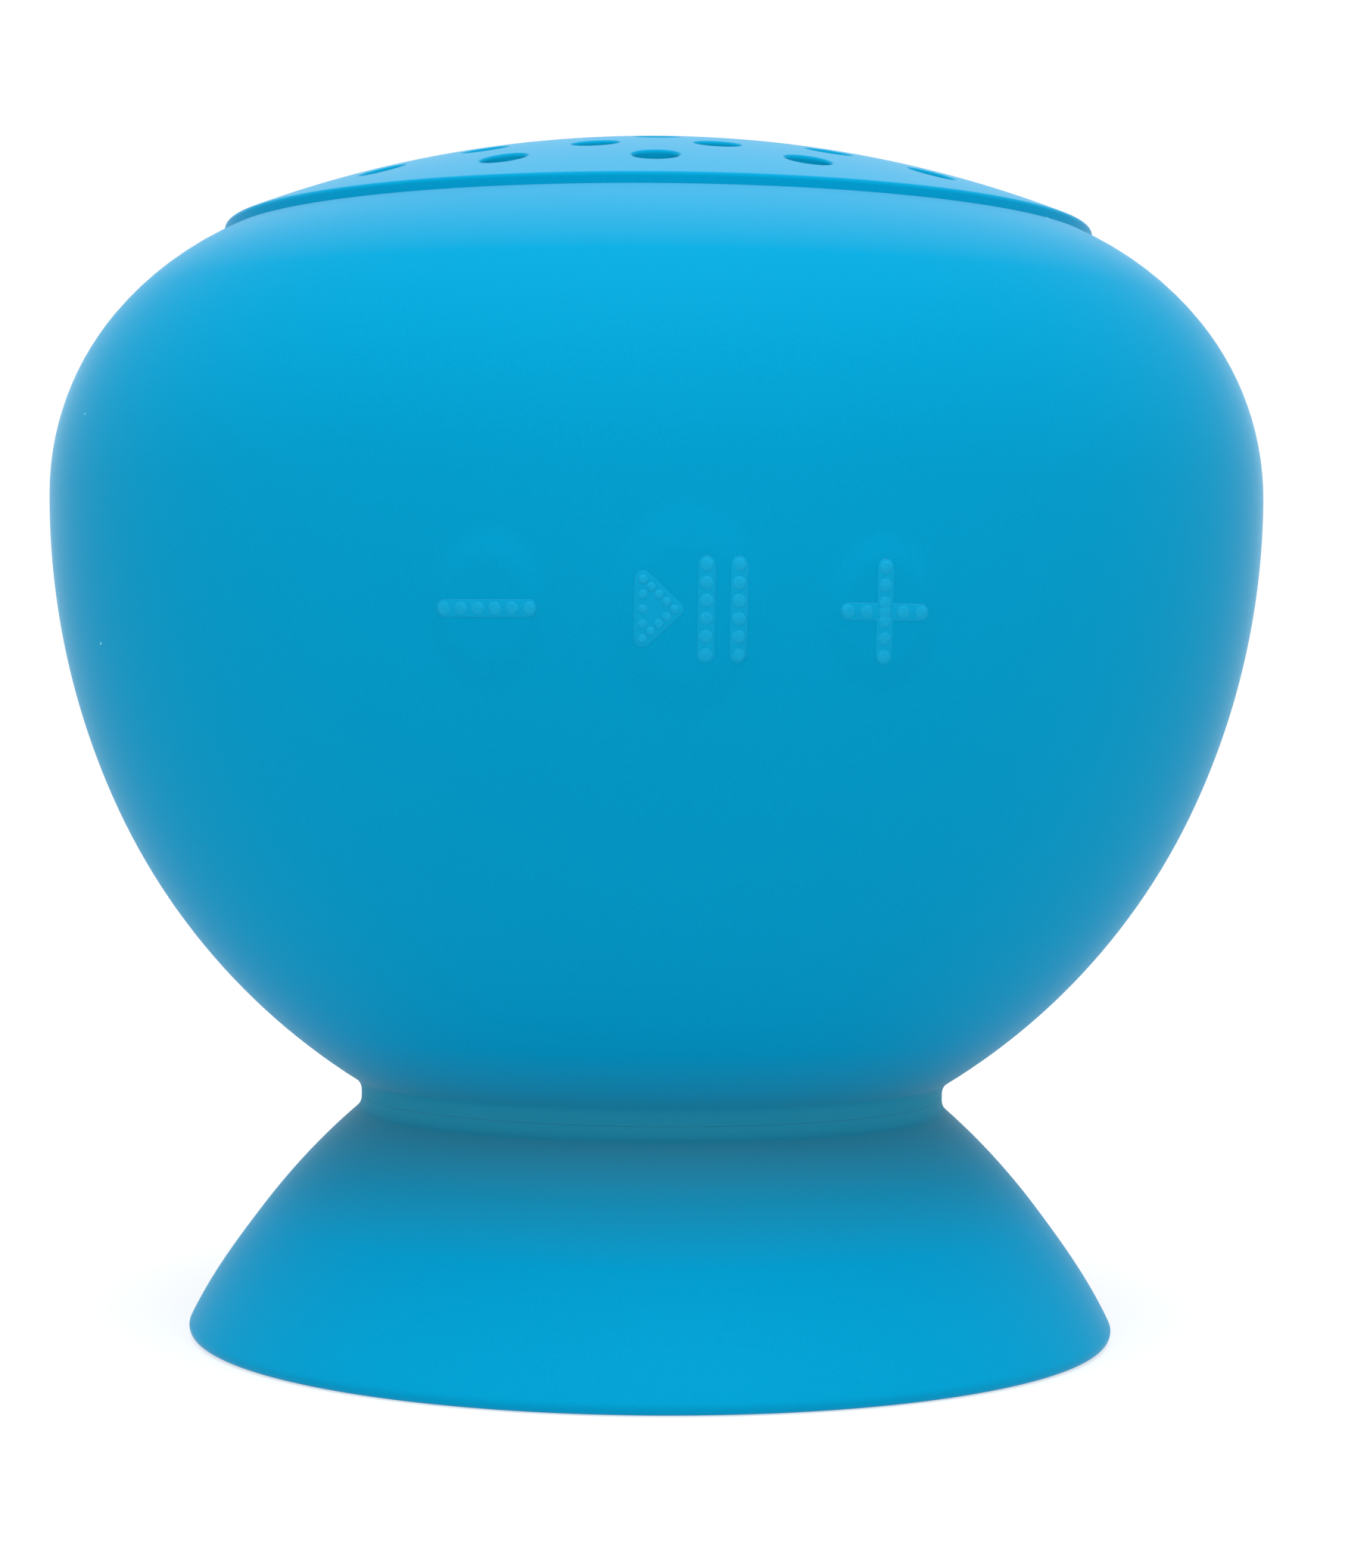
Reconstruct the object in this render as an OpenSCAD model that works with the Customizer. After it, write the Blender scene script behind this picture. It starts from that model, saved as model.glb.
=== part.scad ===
// Shower speaker: a round silicone-skinned body with three soft keys, on a suction foot.
// Millimetres. +Z is up, the keys face -Y, and the origin is the centre of the foot's rim.

/* [Body skin] */
// Widest diameter of the body
body_d = 66; // [64:0.5:68]
// Height of the widest circle above the foot's rim
body_z = 45.5; // [44.5:0.1:46]
// Radius of the shoulder's arc, above the widest circle
shoulder_r = 15; // [14.5:0.1:15.5]
// Angle that the shoulder's arc turns through
shoulder_turn = 38.8; // [36:0.2:42]
// Radius of the crown's arc, between the shoulder and the disc
crown_r = 16.8; // [16:0.1:17.5]
// Radius of the belly's arc, below the widest circle
belly_r = 40.3; // [39:0.1:42]
// Angle that the belly's arc turns through
belly_turn = 24; // [22:0.5:26]
// Radius of the waist's arc, between the belly and the neck
waist_r = 34.8; // [34:0.1:36]
// Thickness of the silicone skin
skin_wall = 1.8; // [1.6:0.1:2]
// Gap between the skin and the hard shell under it
skin_gap = 0.1; // [0.05:0.01:0.15]

/* [Top disc] */
// Diameter of the raised disc
disc_d = 47.5; // [46:0.1:48]
// Height of the disc's highest point above the foot's rim
disc_top = 64.9; // [64.5:0.1:65.5]
// Radius of the disc's shallow dome
dome_r = 61.5; // [58:0.5:66]
// Radius of the rounding on the disc's edge
disc_edge = 0.3; // [0.2:0.05:0.4]
// Diameter of a sound hole
sound_d = 2.3; // [1.8:0.1:2.5]
// Turn of the outer ring of sound holes from the front
sound_turn = -3.1; // [-11:0.1:11]
// Radius of the outer ring of sound holes
ring_r = 19.9; // [19.5:0.1:20.2]
// Distance from one ring of sound holes to the next
ring_step = 4; // [3.8:0.1:4.2]

/* [Neck and foot] */
// Diameter of the neck
neck_d = 31.9; // [31:0.1:33]
// Radius of the neck's fillets
neck_fillet = 0.9; // [0.7:0.1:1.2]
// Height at which the foot meets the body
split_z = 12.9; // [12.8:0.05:13]
// Radius of the foot's flank
flank_r = 35.5; // [35:0.1:36]
// Distance of the flank's arc centre past the axis
flank_past = 7.07; // [7:0.01:7.2]
// Depth of the flank's arc centre below the rim
flank_drop = 14.68; // [14.5:0.01:14.8]
// Widest diameter of the foot's lip
lip_d = 50.4; // [50:0.1:51]
// Radius of the rounding on the lip
lip_round = 0.5; // [0.4:0.05:0.6]
// Inner radius of the rim that seals on the tile
rim_in = 23.7; // [23:0.1:24]
// Height of the flat ceiling in the foot's hollow
hollow_z = 8.2; // [7.5:0.1:8.4]
// Radius of the flat ceiling
hollow_flat = 8; // [7:0.5:9]

/* [Foot stud] */
// Radius of the stud's flange, inside the foot
stud_flange_r = 8; // [7:0.5:9]
// Thickness of the stud's flange
stud_flange_h = 1.5; // [1.2:0.1:1.6]
// Height of the flange's underside
stud_z = 9.9; // [9.7:0.1:10]
// Radius of the stud's stem
stud_r = 4.5; // [4:0.1:5]
// Radius of the stud screw's shank
stud_screw_r = 1.45; // [1.4:0.05:1.5]

/* [Shell] */
// Wall thickness of the hard shell
shell_wall = 1.4; // [1.2:0.1:1.6]
// Inward width of the flange where the two halves meet
rim_w = 3.6; // [3.4:0.1:3.8]
// Height of that flange on each half
rim_h = 2; // [1.6:0.1:2.4]
// Radius of the seal cord between the halves
seal_r = 0.5; // [0.45:0.01:0.55]
// Radius of the circle of shell screws
shell_screw_pcr = 25.5; // [25:0.1:25.6]
// Radius of a shell screw's shank
shell_screw_r = 1; // [0.9:0.05:1.1]
// Height of the underside of a shell screw's head
shell_screw_z = 39; // [38:0.5:40]

/* [Keys] */
// Height of the keys above the foot's rim
key_z = 38.7; // [38:0.1:39]
// Distance from the middle key to a side key
key_pitch = 9.2; // [9:0.1:9.6]
// Width of a side key
side_w = 5.3; // [5:0.1:5.6]
// Height of a side key
side_h = 7.1; // [6.8:0.1:7.4]
// Width of the middle key
mid_w = 7.2; // [7:0.1:7.6]
// Height of the middle key
mid_h = 9.3; // [9:0.1:9.6]
// How far a key stands proud of the skin
key_proud = 0.25; // [0.2:0.01:0.3]
// How deep a key's pad goes below the skin
key_deep = 1.2; // [1.1:0.05:1.25]
// Gap round a key
key_gap = 0.35; // [0.3:0.01:0.4]
// Travel of a key
key_travel = 0.4; // [0.3:0.01:0.4]
// Radius of the nib behind a key
nib_r = 1.6; // [1.4:0.1:1.7]

/* [Port flap] */
// Width of the opening behind the flap
port_w = 24; // [23:0.5:24.5]
// Height of the opening's lower edge
port_z = 32.6; // [32.4:0.1:33]
// Height of the opening
port_h = 9.5; // [9:0.1:10]
// Corner radius of the opening
port_corner = 2; // [1.5:0.1:2.5]
// Gap along the flap's sides and lower edge
flap_gap = 0.3; // [0.25:0.01:0.35]
// Gap along the flap's upper edge, where it swings up a little as it opens
flap_top_gap = 0.5; // [0.45:0.01:0.6]
// Distance of the port panel's face from the axis
panel_y = 27.6; // [27.4:0.1:27.7]

/* [Driver] */
// Radius of the driver's flange
flange_r = 20.4; // [20:0.1:20.6]
// Height of the flange's top face
flange_z = 54.6; // [54.4:0.1:54.8]
// Radius of the circle of driver screws
ear_pcr = 21.5; // [21.3:0.1:21.6]
// Radius of an ear on the flange
ear_r = 2.3; // [2.1:0.1:2.4]
// Radius of a driver screw's shank
driver_screw_r = 0.8; // [0.7:0.05:0.85]
// Radius of the pole in the magnet gap
pole_r = 6.3; // [6.2:0.05:6.35]
// Inner radius of the coil's former
former_r = 6.55; // [6.5:0.01:6.6]
// Radius of the magnet
magnet_r = 15; // [14:0.5:15.5]
// Height of the magnet ring
magnet_h = 5; // [4.5:0.1:5]
// Height of the magnet's underside
magnet_z = 40; // [39.9:0.1:40.2]
// Radius at which the cone meets the surround
cone_r = 14.9; // [14.5:0.1:15]

/* [Boards and battery] */
// Radius of the main board
board_r = 24.4; // [24:0.1:24.4]
// Height of the main board's underside
board_z = 34; // [33.9:0.1:34.1]
// Thickness of a board
board_t = 1.2; // [1:0.1:1.2]
// Length of the battery
cell_l = 30; // [28:1:30]
// Width of the battery
cell_w = 22; // [20:1:24]
// Thickness of the battery
cell_t = 8; // [7:0.5:8]
// Height of the battery's underside
cell_z = 24; // [23.8:0.1:24.2]
// Sideways place of the charging socket
usb_x = -5.5; // [-6:0.1:-5]
// Sideways place of the power switch
switch_x = 5.5; // [5:0.1:6]
// Travel of the power switch
switch_travel = 2; // [1.5:0.1:2]

/* [Hidden] */
$fn = 72;

silicone = "#0a9fd0";
key_silicone = "#35b3dd";
abs_blue = "#1b7fa8";
abs_dark = "#26292c";
board_green = "#1f6b45";
steel = "#b9bdc1";
ferrite = "#3a3a3d";
paper = "#2a2b2e";
copper = "#b87333";
brass_tone = "#c9a85a";
chip_black = "#1c1d20";
foam = "#3c3f44";
far = 100;
fit = 0.05;

// Centres of the arcs that make the skin, each on the line of its neighbour's end.
function polar(r, a) = [r * cos(a), r * sin(a)];
shoulder_c = [body_d / 2 - shoulder_r, body_z];
crown_c = shoulder_c - polar(crown_r - shoulder_r, shoulder_turn);
belly_c = [body_d / 2 - belly_r, body_z];
waist_c = belly_c + polar(belly_r - waist_r, -belly_turn);
neck_r = neck_d / 2;
neck_cr = neck_r + neck_fillet;
waist_reach = waist_r + neck_fillet;
neck_c = [neck_cr, waist_c.y - sqrt(pow(waist_reach, 2) - pow(neck_cr - waist_c.x, 2))];
waist_end = atan2(waist_c.y - neck_c.y, neck_c.x - waist_c.x);
flank_c = [-flank_past, -flank_drop];
flank_reach = flank_r + neck_fillet;
foot_neck_c = [neck_cr, flank_c.y + sqrt(pow(flank_reach, 2) - pow(neck_cr - flank_c.x, 2))];
flank_start = atan2(foot_neck_c.y - flank_c.y, foot_neck_c.x - flank_c.x);
flank_end = asin((lip_round - flank_c.y) / flank_r) + 0.2;
hollow_r = (pow(rim_in - hollow_flat, 2) + pow(hollow_z, 2)) / (2 * hollow_z);
hollow_turn = asin((rim_in - hollow_flat) / hollow_r);
dome_c = [0, disc_top - dome_r];
disc_r = disc_d / 2;
shell_t = skin_wall + skin_gap;
inner_t = shell_t + shell_wall;
stem_top = floor_z(shell_t) - fit;

// Points along an arc, from angle a to angle b in n steps, leaving out the first `skip` points.
function arc(c, r, a, b, n, skip = 0) =
    [for (i = [skip:n]) c + polar(r, a + (b - a) * i / n)];

// Height of the closed bottom of the skin's profile at depth t under the surface.
function floor_z(t) = waist_c.y - (waist_r - t) * sin(waist_end);

// Radius of the skin's profile at depth t and height z, in the belly.
function belly_x(t, z) = belly_c.x + sqrt(pow(belly_r - t, 2) - pow(z - belly_c.y, 2));

// The skin's profile at depth t under the surface, from the waist up to the disc's edge.
function skin(t) = concat(
    arc(waist_c, waist_r - t, -waist_end, -belly_turn, 9, 1),
    arc(belly_c, belly_r - t, -belly_turn, 0, 6, 1),
    arc(shoulder_c, shoulder_r - t, 0, shoulder_turn, 6, 1),
    arc(crown_c, crown_r - t, shoulder_turn, acos((disc_r - t - crown_c.x) / (crown_r - t)), 4, 1));

// The domed disc's profile at depth t, with its edge rounded by r, from the edge to the axis.
function disc(t, r) = let (
        reach = dome_r - t - r,
        c = [disc_r - t - r, dome_c.y + sqrt(pow(reach, 2) - pow(disc_r - t - r, 2))],
        tilt = acos(c.x / reach))
    concat(arc(c, r, 0, tilt, 3), arc(dome_c, dome_r - t, tilt, 90, 10, 1));

module inner_solid(t) {
    rotate_extrude()
        polygon(concat([[0, floor_z(t)], [waist_c.x + (waist_r - t) * cos(waist_end), floor_z(t)]],
            skin(t), disc(t, disc_edge / 2)));
}

module outer_solid() {
    rotate_extrude()
        polygon(concat([[0, split_z], [neck_r, split_z]],
            arc(neck_c, neck_fillet, 180, 180 - waist_end, 3), skin(0), disc(0, disc_edge)));
}

// A ring with a square section.
module ring(r_out, r_in, z, h) {
    translate([0, 0, z])
        difference() {
            cylinder(r = r_out, h = h);
            translate([0, 0, -h])
                cylinder(r = r_in, h = 3 * h);
        }
}

module disc_at(r, z, h) {
    translate([0, 0, z])
        cylinder(r = r, h = h);
}

// A block given by its centre in X, its nearest Y, its lowest Z and its size.
module block(x, y, z, size) {
    translate([x - size.x / 2, y, z])
        cube(size);
}

// Copies its children to n places on a circle.
module around(n, r, start = 0) {
    for (i = [0:n - 1])
        rotate([0, 0, start + i * 360 / n])
            translate([r, 0, 0])
                children();
}

// Turns a shape drawn in X and Z so that it runs along Y.
module along_y(y, length) {
    translate([0, y, 0])
        rotate([90, 0, 0])
            mirror([0, 0, 1])
                linear_extrude(height = length)
                    children();
}

module oval(w, h) {
    sides = 48;
    polygon([for (i = [0:sides - 1]) [w / 2 * cos(i * 360 / sides), h / 2 * sin(i * 360 / sides)]]);
}

// A rectangle with round corners, made of true circles.
module round_rect(x, y, w, h, r) {
    translate([x + r, y])
        square([w - 2 * r, h]);
    translate([x, y + r])
        square([w, h - 2 * r]);
    for (cx = [x + r, x + w - r], cy = [y + r, y + h - r])
        translate([cx, cy])
            circle(r = r);
}

// A round tube along a list of points.
module tube(points, r) {
    sides = 8;
    n = len(points);
    ahead = [for (i = [0:n - 1]) points[min(i + 1, n - 1)] - points[max(i - 1, 0)]];
    rings = [for (i = [0:n - 1]) let (
            d = ahead[i] / norm(ahead[i]),
            ref = abs(d.z) > 0.9 ? [0, 1, 0] : [0, 0, 1],
            u = cross(d, ref) / norm(cross(d, ref)),
            v = cross(d, u))
        for (k = [0:sides - 1]) points[i] + r * (u * cos(k * 360 / sides) + v * sin(k * 360 / sides))];
    walls = [for (i = [0:n - 2], k = [0:sides - 1]) let (m = (k + 1) % sides)
        [i * sides + k, i * sides + m, (i + 1) * sides + m, (i + 1) * sides + k]];
    first = [for (k = [sides - 1:-1:0]) k];
    last = [for (k = [0:sides - 1]) (n - 1) * sides + k];
    polyhedron(points = rings, faces = concat(walls, [first, last]));
}

// A pan-head screw, head downwards, with a shank that rises by `up` above the head.
module screw(shank_r, head_r, head_h, up, drive_r) {
    difference() {
        union() {
            translate([0, 0, -head_h])
                cylinder(r = head_r, h = head_h);
            cylinder(r = shank_r, h = up);
        }
        translate([0, 0, -head_h - fit])
            cylinder(r = drive_r, h = head_h / 2, $fn = 6);
    }
}

// ---------------------------------------------------------------- foot

// The soft suction foot, with its hollow and the socket for the stud.
module suction_cup() {
    color(silicone)
        difference() {
            rotate_extrude()
                polygon(concat([[0, split_z], [neck_r, split_z]],
                    arc(foot_neck_c, neck_fillet, 180, 180 + flank_start, 3),
                    arc(flank_c, flank_r, flank_start, flank_end, 9, 1),
                    arc([lip_d / 2 - lip_round, lip_round], lip_round, 10, -90, 4),
                    arc([hollow_flat, hollow_z - hollow_r], hollow_r, 90 - hollow_turn, 90, 9),
                    [[0, hollow_z]]));
            disc_at(stud_flange_r + fit, stud_z - fit, stud_flange_h + 2 * fit);
            disc_at(stud_r + fit, stud_z, far);
        }
}

// The hard stud that holds the foot to the body, screwed on from inside the shell.
module cup_stud() {
    color(abs_dark)
        difference() {
            union() {
                disc_at(stud_flange_r, stud_z, stud_flange_h);
                disc_at(stud_r, stud_z, stem_top - stud_z);
            }
            disc_at(stud_screw_r + fit, stud_z + stud_flange_h / 2, far);
        }
}

module stud_screw() {
    head_r = 2.8;
    head_h = 1.8;
    length = 5.2;
    color(steel)
        translate([0, 0, floor_z(inner_t) + fit])
            mirror([0, 0, 1])
                screw(stud_screw_r, head_r, head_h, length, 1.2);
}

// ---------------------------------------------------------------- skin

// Every sound hole, as a pin from z upwards. The inner rings hold fewer holes.
module sound_pins(z) {
    counts = [16, 16, 12, 8];
    for (k = [0:len(counts) - 1])
        around(counts[k], ring_r - k * ring_step, -90 + sound_turn + (k % 2) * 180 / counts[k])
            disc_at(sound_d / 2, z, far);
    disc_at(sound_d / 2, z, far);
}

// The opening that the flap closes, along Y behind the axis, grown by `grow` on each edge.
module port_prism(grow, top) {
    along_y(panel_y / 2, far)
        round_rect(-port_w / 2 - grow, port_z - grow, port_w + 2 * grow, port_h + grow + top,
            port_corner + grow);
}

module key_prism(x, w, h, grow) {
    translate([x, 0, key_z])
        along_y(-far, far - panel_y / 2)
            oval(w + 2 * grow, h + 2 * grow);
}

// The blue silicone skin over the body: keys, port and sound holes are cut right through.
module silicone_jacket() {
    color(silicone)
        difference() {
            outer_solid();
            inner_solid(skin_wall);
            disc_at(stud_r + fit, 0, body_z);
            sound_pins(body_z);
            port_prism(0, 0);
            key_prism(-key_pitch, side_w, side_h, key_gap);
            key_prism(0, mid_w, mid_h, key_gap);
            key_prism(key_pitch, side_w, side_h, key_gap);
        }
}

nib_y = -27.3;

// A soft key: a pad of the skin's own curve, with a nib that presses a switch.
module key(x, w, h) {
    difference() {
        intersection() {
            rotate_extrude()
                polygon(concat([[0, port_z - key_deep], [belly_x(-key_proud, port_z), port_z - key_deep]],
                    arc(belly_c, belly_r + key_proud, -belly_turn + 1, -1, 12), [[0, body_z]]));
            key_prism(x, w, h, 0);
            disc_at(body_d / 2, 0, far);
        }
        inner_solid(key_deep);
    }
    translate([x, -belly_x(key_deep, key_z) * cos(asin(x / belly_x(key_deep, key_z))) - 2 * fit, key_z])
        rotate([-90, 0, 0])
            cylinder(r = nib_r, h = nib_y + belly_x(key_deep, key_z)
                * cos(asin(x / belly_x(key_deep, key_z))) + 2 * fit);
}

module key_minus() {
    color(key_silicone)
        key(-key_pitch, side_w, side_h);
}

module key_play() {
    color(key_silicone)
        key(0, mid_w, mid_h);
}

module key_plus() {
    color(key_silicone)
        key(key_pitch, side_w, side_h);
}

// The flap of the skin over the charging socket, with a block that seals on the panel.
module port_flap() {
    plug_w = 7.6;
    plug_h = 3;
    plug_z = 35.2;
    color(silicone)
        union() {
            difference() {
                intersection() {
                    outer_solid();
                    port_prism(-flap_gap, flap_gap - flap_top_gap);
                }
                inner_solid(skin_wall);
            }
            intersection() {
                block(usb_x, panel_y + flap_gap, plug_z, [plug_w, 2 * shell_t, plug_h]);
                inner_solid(skin_wall / 2);
            }
        }
}

// ---------------------------------------------------------------- hard shell

panel_t = 1.6;
shelf_z = flange_z + 0.6;
shelf_h = 1.2;
usb_w = 7.5;
usb_h = 2.8;
switch_w = 8.5;
switch_h = 3.4;
led_z = board_z + board_t + 1.2;
pipe_r = 0.9;

// The upper half of the shell: a grille over the driver and a shelf that the driver hangs from.
module upper_shell() {
    post_r = 3;
    post_top = 53;
    hole_in = 18;
    color(abs_blue)
        difference() {
            intersection() {
                inner_solid(shell_t);
                disc_at(far, body_z, far);
                union() {
                    difference() {
                        disc_at(far, body_z, far);
                        inner_solid(inner_t);
                    }
                    ring(far, belly_x(shell_t, body_z) - rim_w, body_z, rim_h);
                    ring(far, hole_in, shelf_z, shelf_h);
                    around(4, shell_screw_pcr, 45)
                        disc_at(post_r, body_z, post_top - body_z);
                }
            }
            sound_pins(shelf_z + shelf_h);
            seal_groove();
            around(4, shell_screw_pcr, 45)
                disc_at(shell_screw_r + fit, 0, post_top - 1);
            around(4, ear_pcr)
                disc_at(driver_screw_r + fit, 0, shelf_z + shelf_h - 2 * fit);
        }
}

module seal_groove() {
    ring(seal_mid + seal_r + fit, seal_mid - seal_r - fit, body_z - seal_r - fit, 2 * (seal_r + fit));
}

seal_mid = belly_x(shell_t, body_z) - rim_w / 2 + 0.3;

// The lower half of the shell, with its posts, battery ribs, port panel and key windows.
module lower_shell() {
    post_r = 3.7;
    head_r = 2.5;
    rib_x = 8;
    rib_w = 1.6;
    color(abs_blue)
        difference() {
            intersection() {
                inner_solid(shell_t);
                disc_at(far, 0, body_z);
                union() {
                    difference() {
                        disc_at(far, 0, body_z);
                        inner_solid(inner_t);
                    }
                    ring(far, belly_x(shell_t, body_z) - rim_w, body_z - rim_h, rim_h);
                    around(4, shell_screw_pcr, 45)
                        disc_at(post_r, 0, body_z);
                    board_posts()
                        disc_at(2.2, 0, board_z - fit);
                    for (x = [-rib_x, rib_x])
                        block(x, -cell_w / 2, 0, [rib_w, cell_w, pad_z - fit]);
                    block(0, panel_y - panel_t, port_z - 1, [port_w + 2, panel_t, port_h + 2]);
                    key_posts()
                        cylinder(r = 1.5, h = far);
                }
            }
            along_y(panel_y, far)
                round_rect(-port_w / 2, port_z, port_w, port_h, port_corner);
            panel_openings();
            seal_groove();
            around(4, shell_screw_pcr, 45) {
                disc_at(head_r, 0, shell_screw_z);
                disc_at(shell_screw_r + 0.2, 0, far);
            }
            board_posts()
                disc_at(0.95 + fit, board_z - 6, far);
            key_posts()
                translate([0, 0, -fit])
                    cylinder(r = 0.8 + fit, h = 3.5);
            for (x = [-key_pitch, 0, key_pitch])
                translate([x, -far, key_z])
                    along_y(0, far - panel_y / 2 - 4)
                        circle(r = nib_r + key_travel);
            disc_at(stud_screw_r + 0.15, 0, far);
        }
}

module board_posts() {
    for (x = [-17.9, 17.9], y = [-6.5, 6.5])
        translate([x, y, 0])
            children();
}

key_board_y = -24.6;

// Places children at the key board's two screws, with +Z of the child towards the front.
module key_posts() {
    for (x = [-key_pitch / 2, key_pitch / 2])
        translate([x, key_board_y, key_z])
            rotate([90, 0, 0])
                children();
}

module panel_openings() {
    board_top = board_z + board_t;
    block(usb_x, panel_y / 2, board_top - 0.3, [usb_w + 0.6, far, usb_h + 0.6]);
    block(switch_x, panel_y / 2, board_top + 0.4, [2.2 + switch_travel + 0.6, far, 2.8]);
    translate([0, panel_y / 2, led_z])
        rotate([-90, 0, 0])
            cylinder(r = pipe_r + fit, h = far);
}

module shell_seal() {
    color(foam)
        rotate_extrude()
            translate([seal_mid, body_z])
                circle(r = seal_r);
}

module shell_screws() {
    color(steel)
        around(4, shell_screw_pcr, 45)
            translate([0, 0, shell_screw_z - fit])
                screw(shell_screw_r, 2.1, 1.4, 12.5, 1);
}

module acoustic_mesh() {
    color(silicone)
        disc_at(21.4, shelf_z + shelf_h + fit, 0.25);
}

// ---------------------------------------------------------------- driver

flange_h = 1;
plate_h = 1.5;
plate_z = magnet_z + magnet_h;
plate_r = 14;
spider_z = 49;
basket_wall = 0.8;

module driver_gasket() {
    color(foam)
        ring(flange_r, 18, flange_z + fit, 0.5);
}

// The pressed frame: flange and ears, a conical wall with four windows, and a seat on the plate.
module driver_basket() {
    foot_z = plate_z + plate_h + fit;
    seat_in = 9.5;
    low = [14.9, foot_z];
    high = [18, flange_z - flange_h];
    ledge = [14.2, spider_z - 0.1];
    color(steel)
        difference() {
            union() {
                rotate_extrude()
                    polygon([[seat_in, foot_z], low + [basket_wall, 0], high + [basket_wall, 0],
                        [flange_r, high.y], [flange_r, flange_z], [high.x, flange_z], high,
                        [16.1, ledge.y], ledge, ledge - [0, 0.5], [15.5, ledge.y - 0.5],
                        low + [0, basket_wall], [seat_in, foot_z + basket_wall]]);
                around(4, ear_pcr)
                    disc_at(ear_r, high.y, flange_h);
            }
            around(4, ear_pcr)
                disc_at(1.1, 0, far);
            disc_at(high.x, flange_z - flange_h, far);
            around(4, 0, 45)
                block(17, -4.5, ledge.y + 0.6, [6, 9, high.y - ledge.y - 1.4]);
        }
}

module driver_magnet() {
    color(ferrite)
        ring(magnet_r, 8.5, magnet_z, magnet_h);
}

module driver_top_plate() {
    color(steel)
        ring(plate_r, 7.35, plate_z, plate_h);
}

module driver_yoke() {
    color(steel) {
        disc_at(plate_r, magnet_z - plate_h, plate_h);
        disc_at(pole_r, magnet_z - plate_h, magnet_h + 2 * plate_h);
    }
}

module driver_terminals() {
    color(brass_tone)
        for (y = [-1.5, 1.5])
            translate([-20.2, y - 0.75, flange_z - flange_h - 2.6])
                cube([0.8, 1.5, 2.5]);
}

module driver_screws() {
    color(steel)
        around(4, ear_pcr)
            translate([0, 0, flange_z - flange_h - fit])
                screw(driver_screw_r, 1.5, 1, 2.6, 0.6);
}

// The half-round roll between the cone and the flange.
module driver_surround() {
    mid = [(cone_r + 18) / 2, flange_z - 0.4];
    roll = (18 - cone_r) / 2 - fit;
    color(foam)
        rotate_extrude()
            polygon(concat(arc(mid, roll, 180, 0, 12), arc(mid, roll - 0.4, 0, 180, 12)));
}

// The corrugated ring that centres the coil.
module driver_spider() {
    waves = 4;
    steps = 6 * waves;
    inner = former_r + 0.2 + fit;
    outer = 15.8;
    height = 0.35;
    sheet = 0.3;
    mid = spider_z + height;
    wave = [for (i = [0:steps]) [inner + (outer - inner) * i / steps,
        mid + height * sin(90 + i * 360 * waves / steps)]];
    color("#c9a227")
        rotate_extrude()
            polygon(concat(wave, [for (i = [steps:-1:0]) wave[i] + [0, sheet]]));
}

module driver_cone() {
    low = [former_r + 0.2 + fit, 50.6];
    high = [cone_r - fit, flange_z - 0.3];
    sheet = [0, 0.45];
    bow = [11, 53.1];
    color(paper)
        rotate_extrude()
            polygon([low, bow, high, high + sheet, bow + sheet, low + sheet]);
}

module dust_cap() {
    base = 7.6;
    rise = 2.2;
    dome = (base * base + rise * rise) / (2 * rise);
    half = asin(base / dome);
    c = [0, 51.7 + rise - dome];
    color(paper)
        rotate_extrude()
            polygon(concat(arc(c, dome, 90 - half, 90, 8), arc(c, dome + 0.3, 90, 90 - half, 8)));
}

module voice_coil_former() {
    color(brass_tone)
        ring(former_r + 0.2, former_r, magnet_z + 1.5, 10);
}

module voice_coil() {
    color(copper)
        ring(7.08, former_r + 0.22, 43.5, 4.6);
}

// ---------------------------------------------------------------- boards

board_top = board_z + board_t;

// The main board, cut back round the shell's posts, with a tab under the socket and a wire slot.
module main_board() {
    tongue_w = 20;
    color(board_green)
        translate([0, 0, board_z])
            difference() {
                linear_extrude(height = board_t)
                    difference() {
                        union() {
                            circle(r = board_r);
                            translate([-tongue_w / 2, 0])
                                square([tongue_w, panel_y - panel_t - 0.1]);
                        }
                        for (i = [0:3])
                            rotate(45 + 90 * i)
                                translate([shell_screw_pcr, 0])
                                    circle(r = 4.2);
                        translate([6.6, 16])
                            square([5, 2.6]);
                    }
                board_posts()
                    translate([0, 0, -far / 2])
                        cylinder(r = 1.1, h = far);
            }
}

module main_board_screws() {
    color(steel)
        board_posts()
            translate([0, 0, board_top + fit])
                mirror([0, 0, 1])
                    screw(0.95, 1.9, 1.2, 6, 0.9);
}

module radio_chip() {
    color(chip_black)
        block(-8, -11, board_top, [6, 6, 0.9]);
}

module amplifier_chip() {
    color(chip_black)
        block(8, -12, board_top, [5, 5, 1]);
}

module power_inductor() {
    color(ferrite)
        difference() {
            block(0, -17, board_top, [5, 5, 2]);
            translate([0, -14.5, board_top + 1.6])
                cylinder(r = 1.9, h = 1);
        }
}

module board_capacitors() {
    color(steel)
        for (p = [[20.8, 0], [-11.4, 14.2], [-15.4, 11.2]])
            translate([p.x, p.y, board_top])
                cylinder(r = 1.9, h = 2.9);
}

module crystal() {
    color(steel)
        block(-1.5, -9, board_top, [3.2, 2.5, 0.8]);
}

module chip_antenna() {
    color("white")
        block(-9, -21, board_top, [7, 2, 1]);
}

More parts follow.
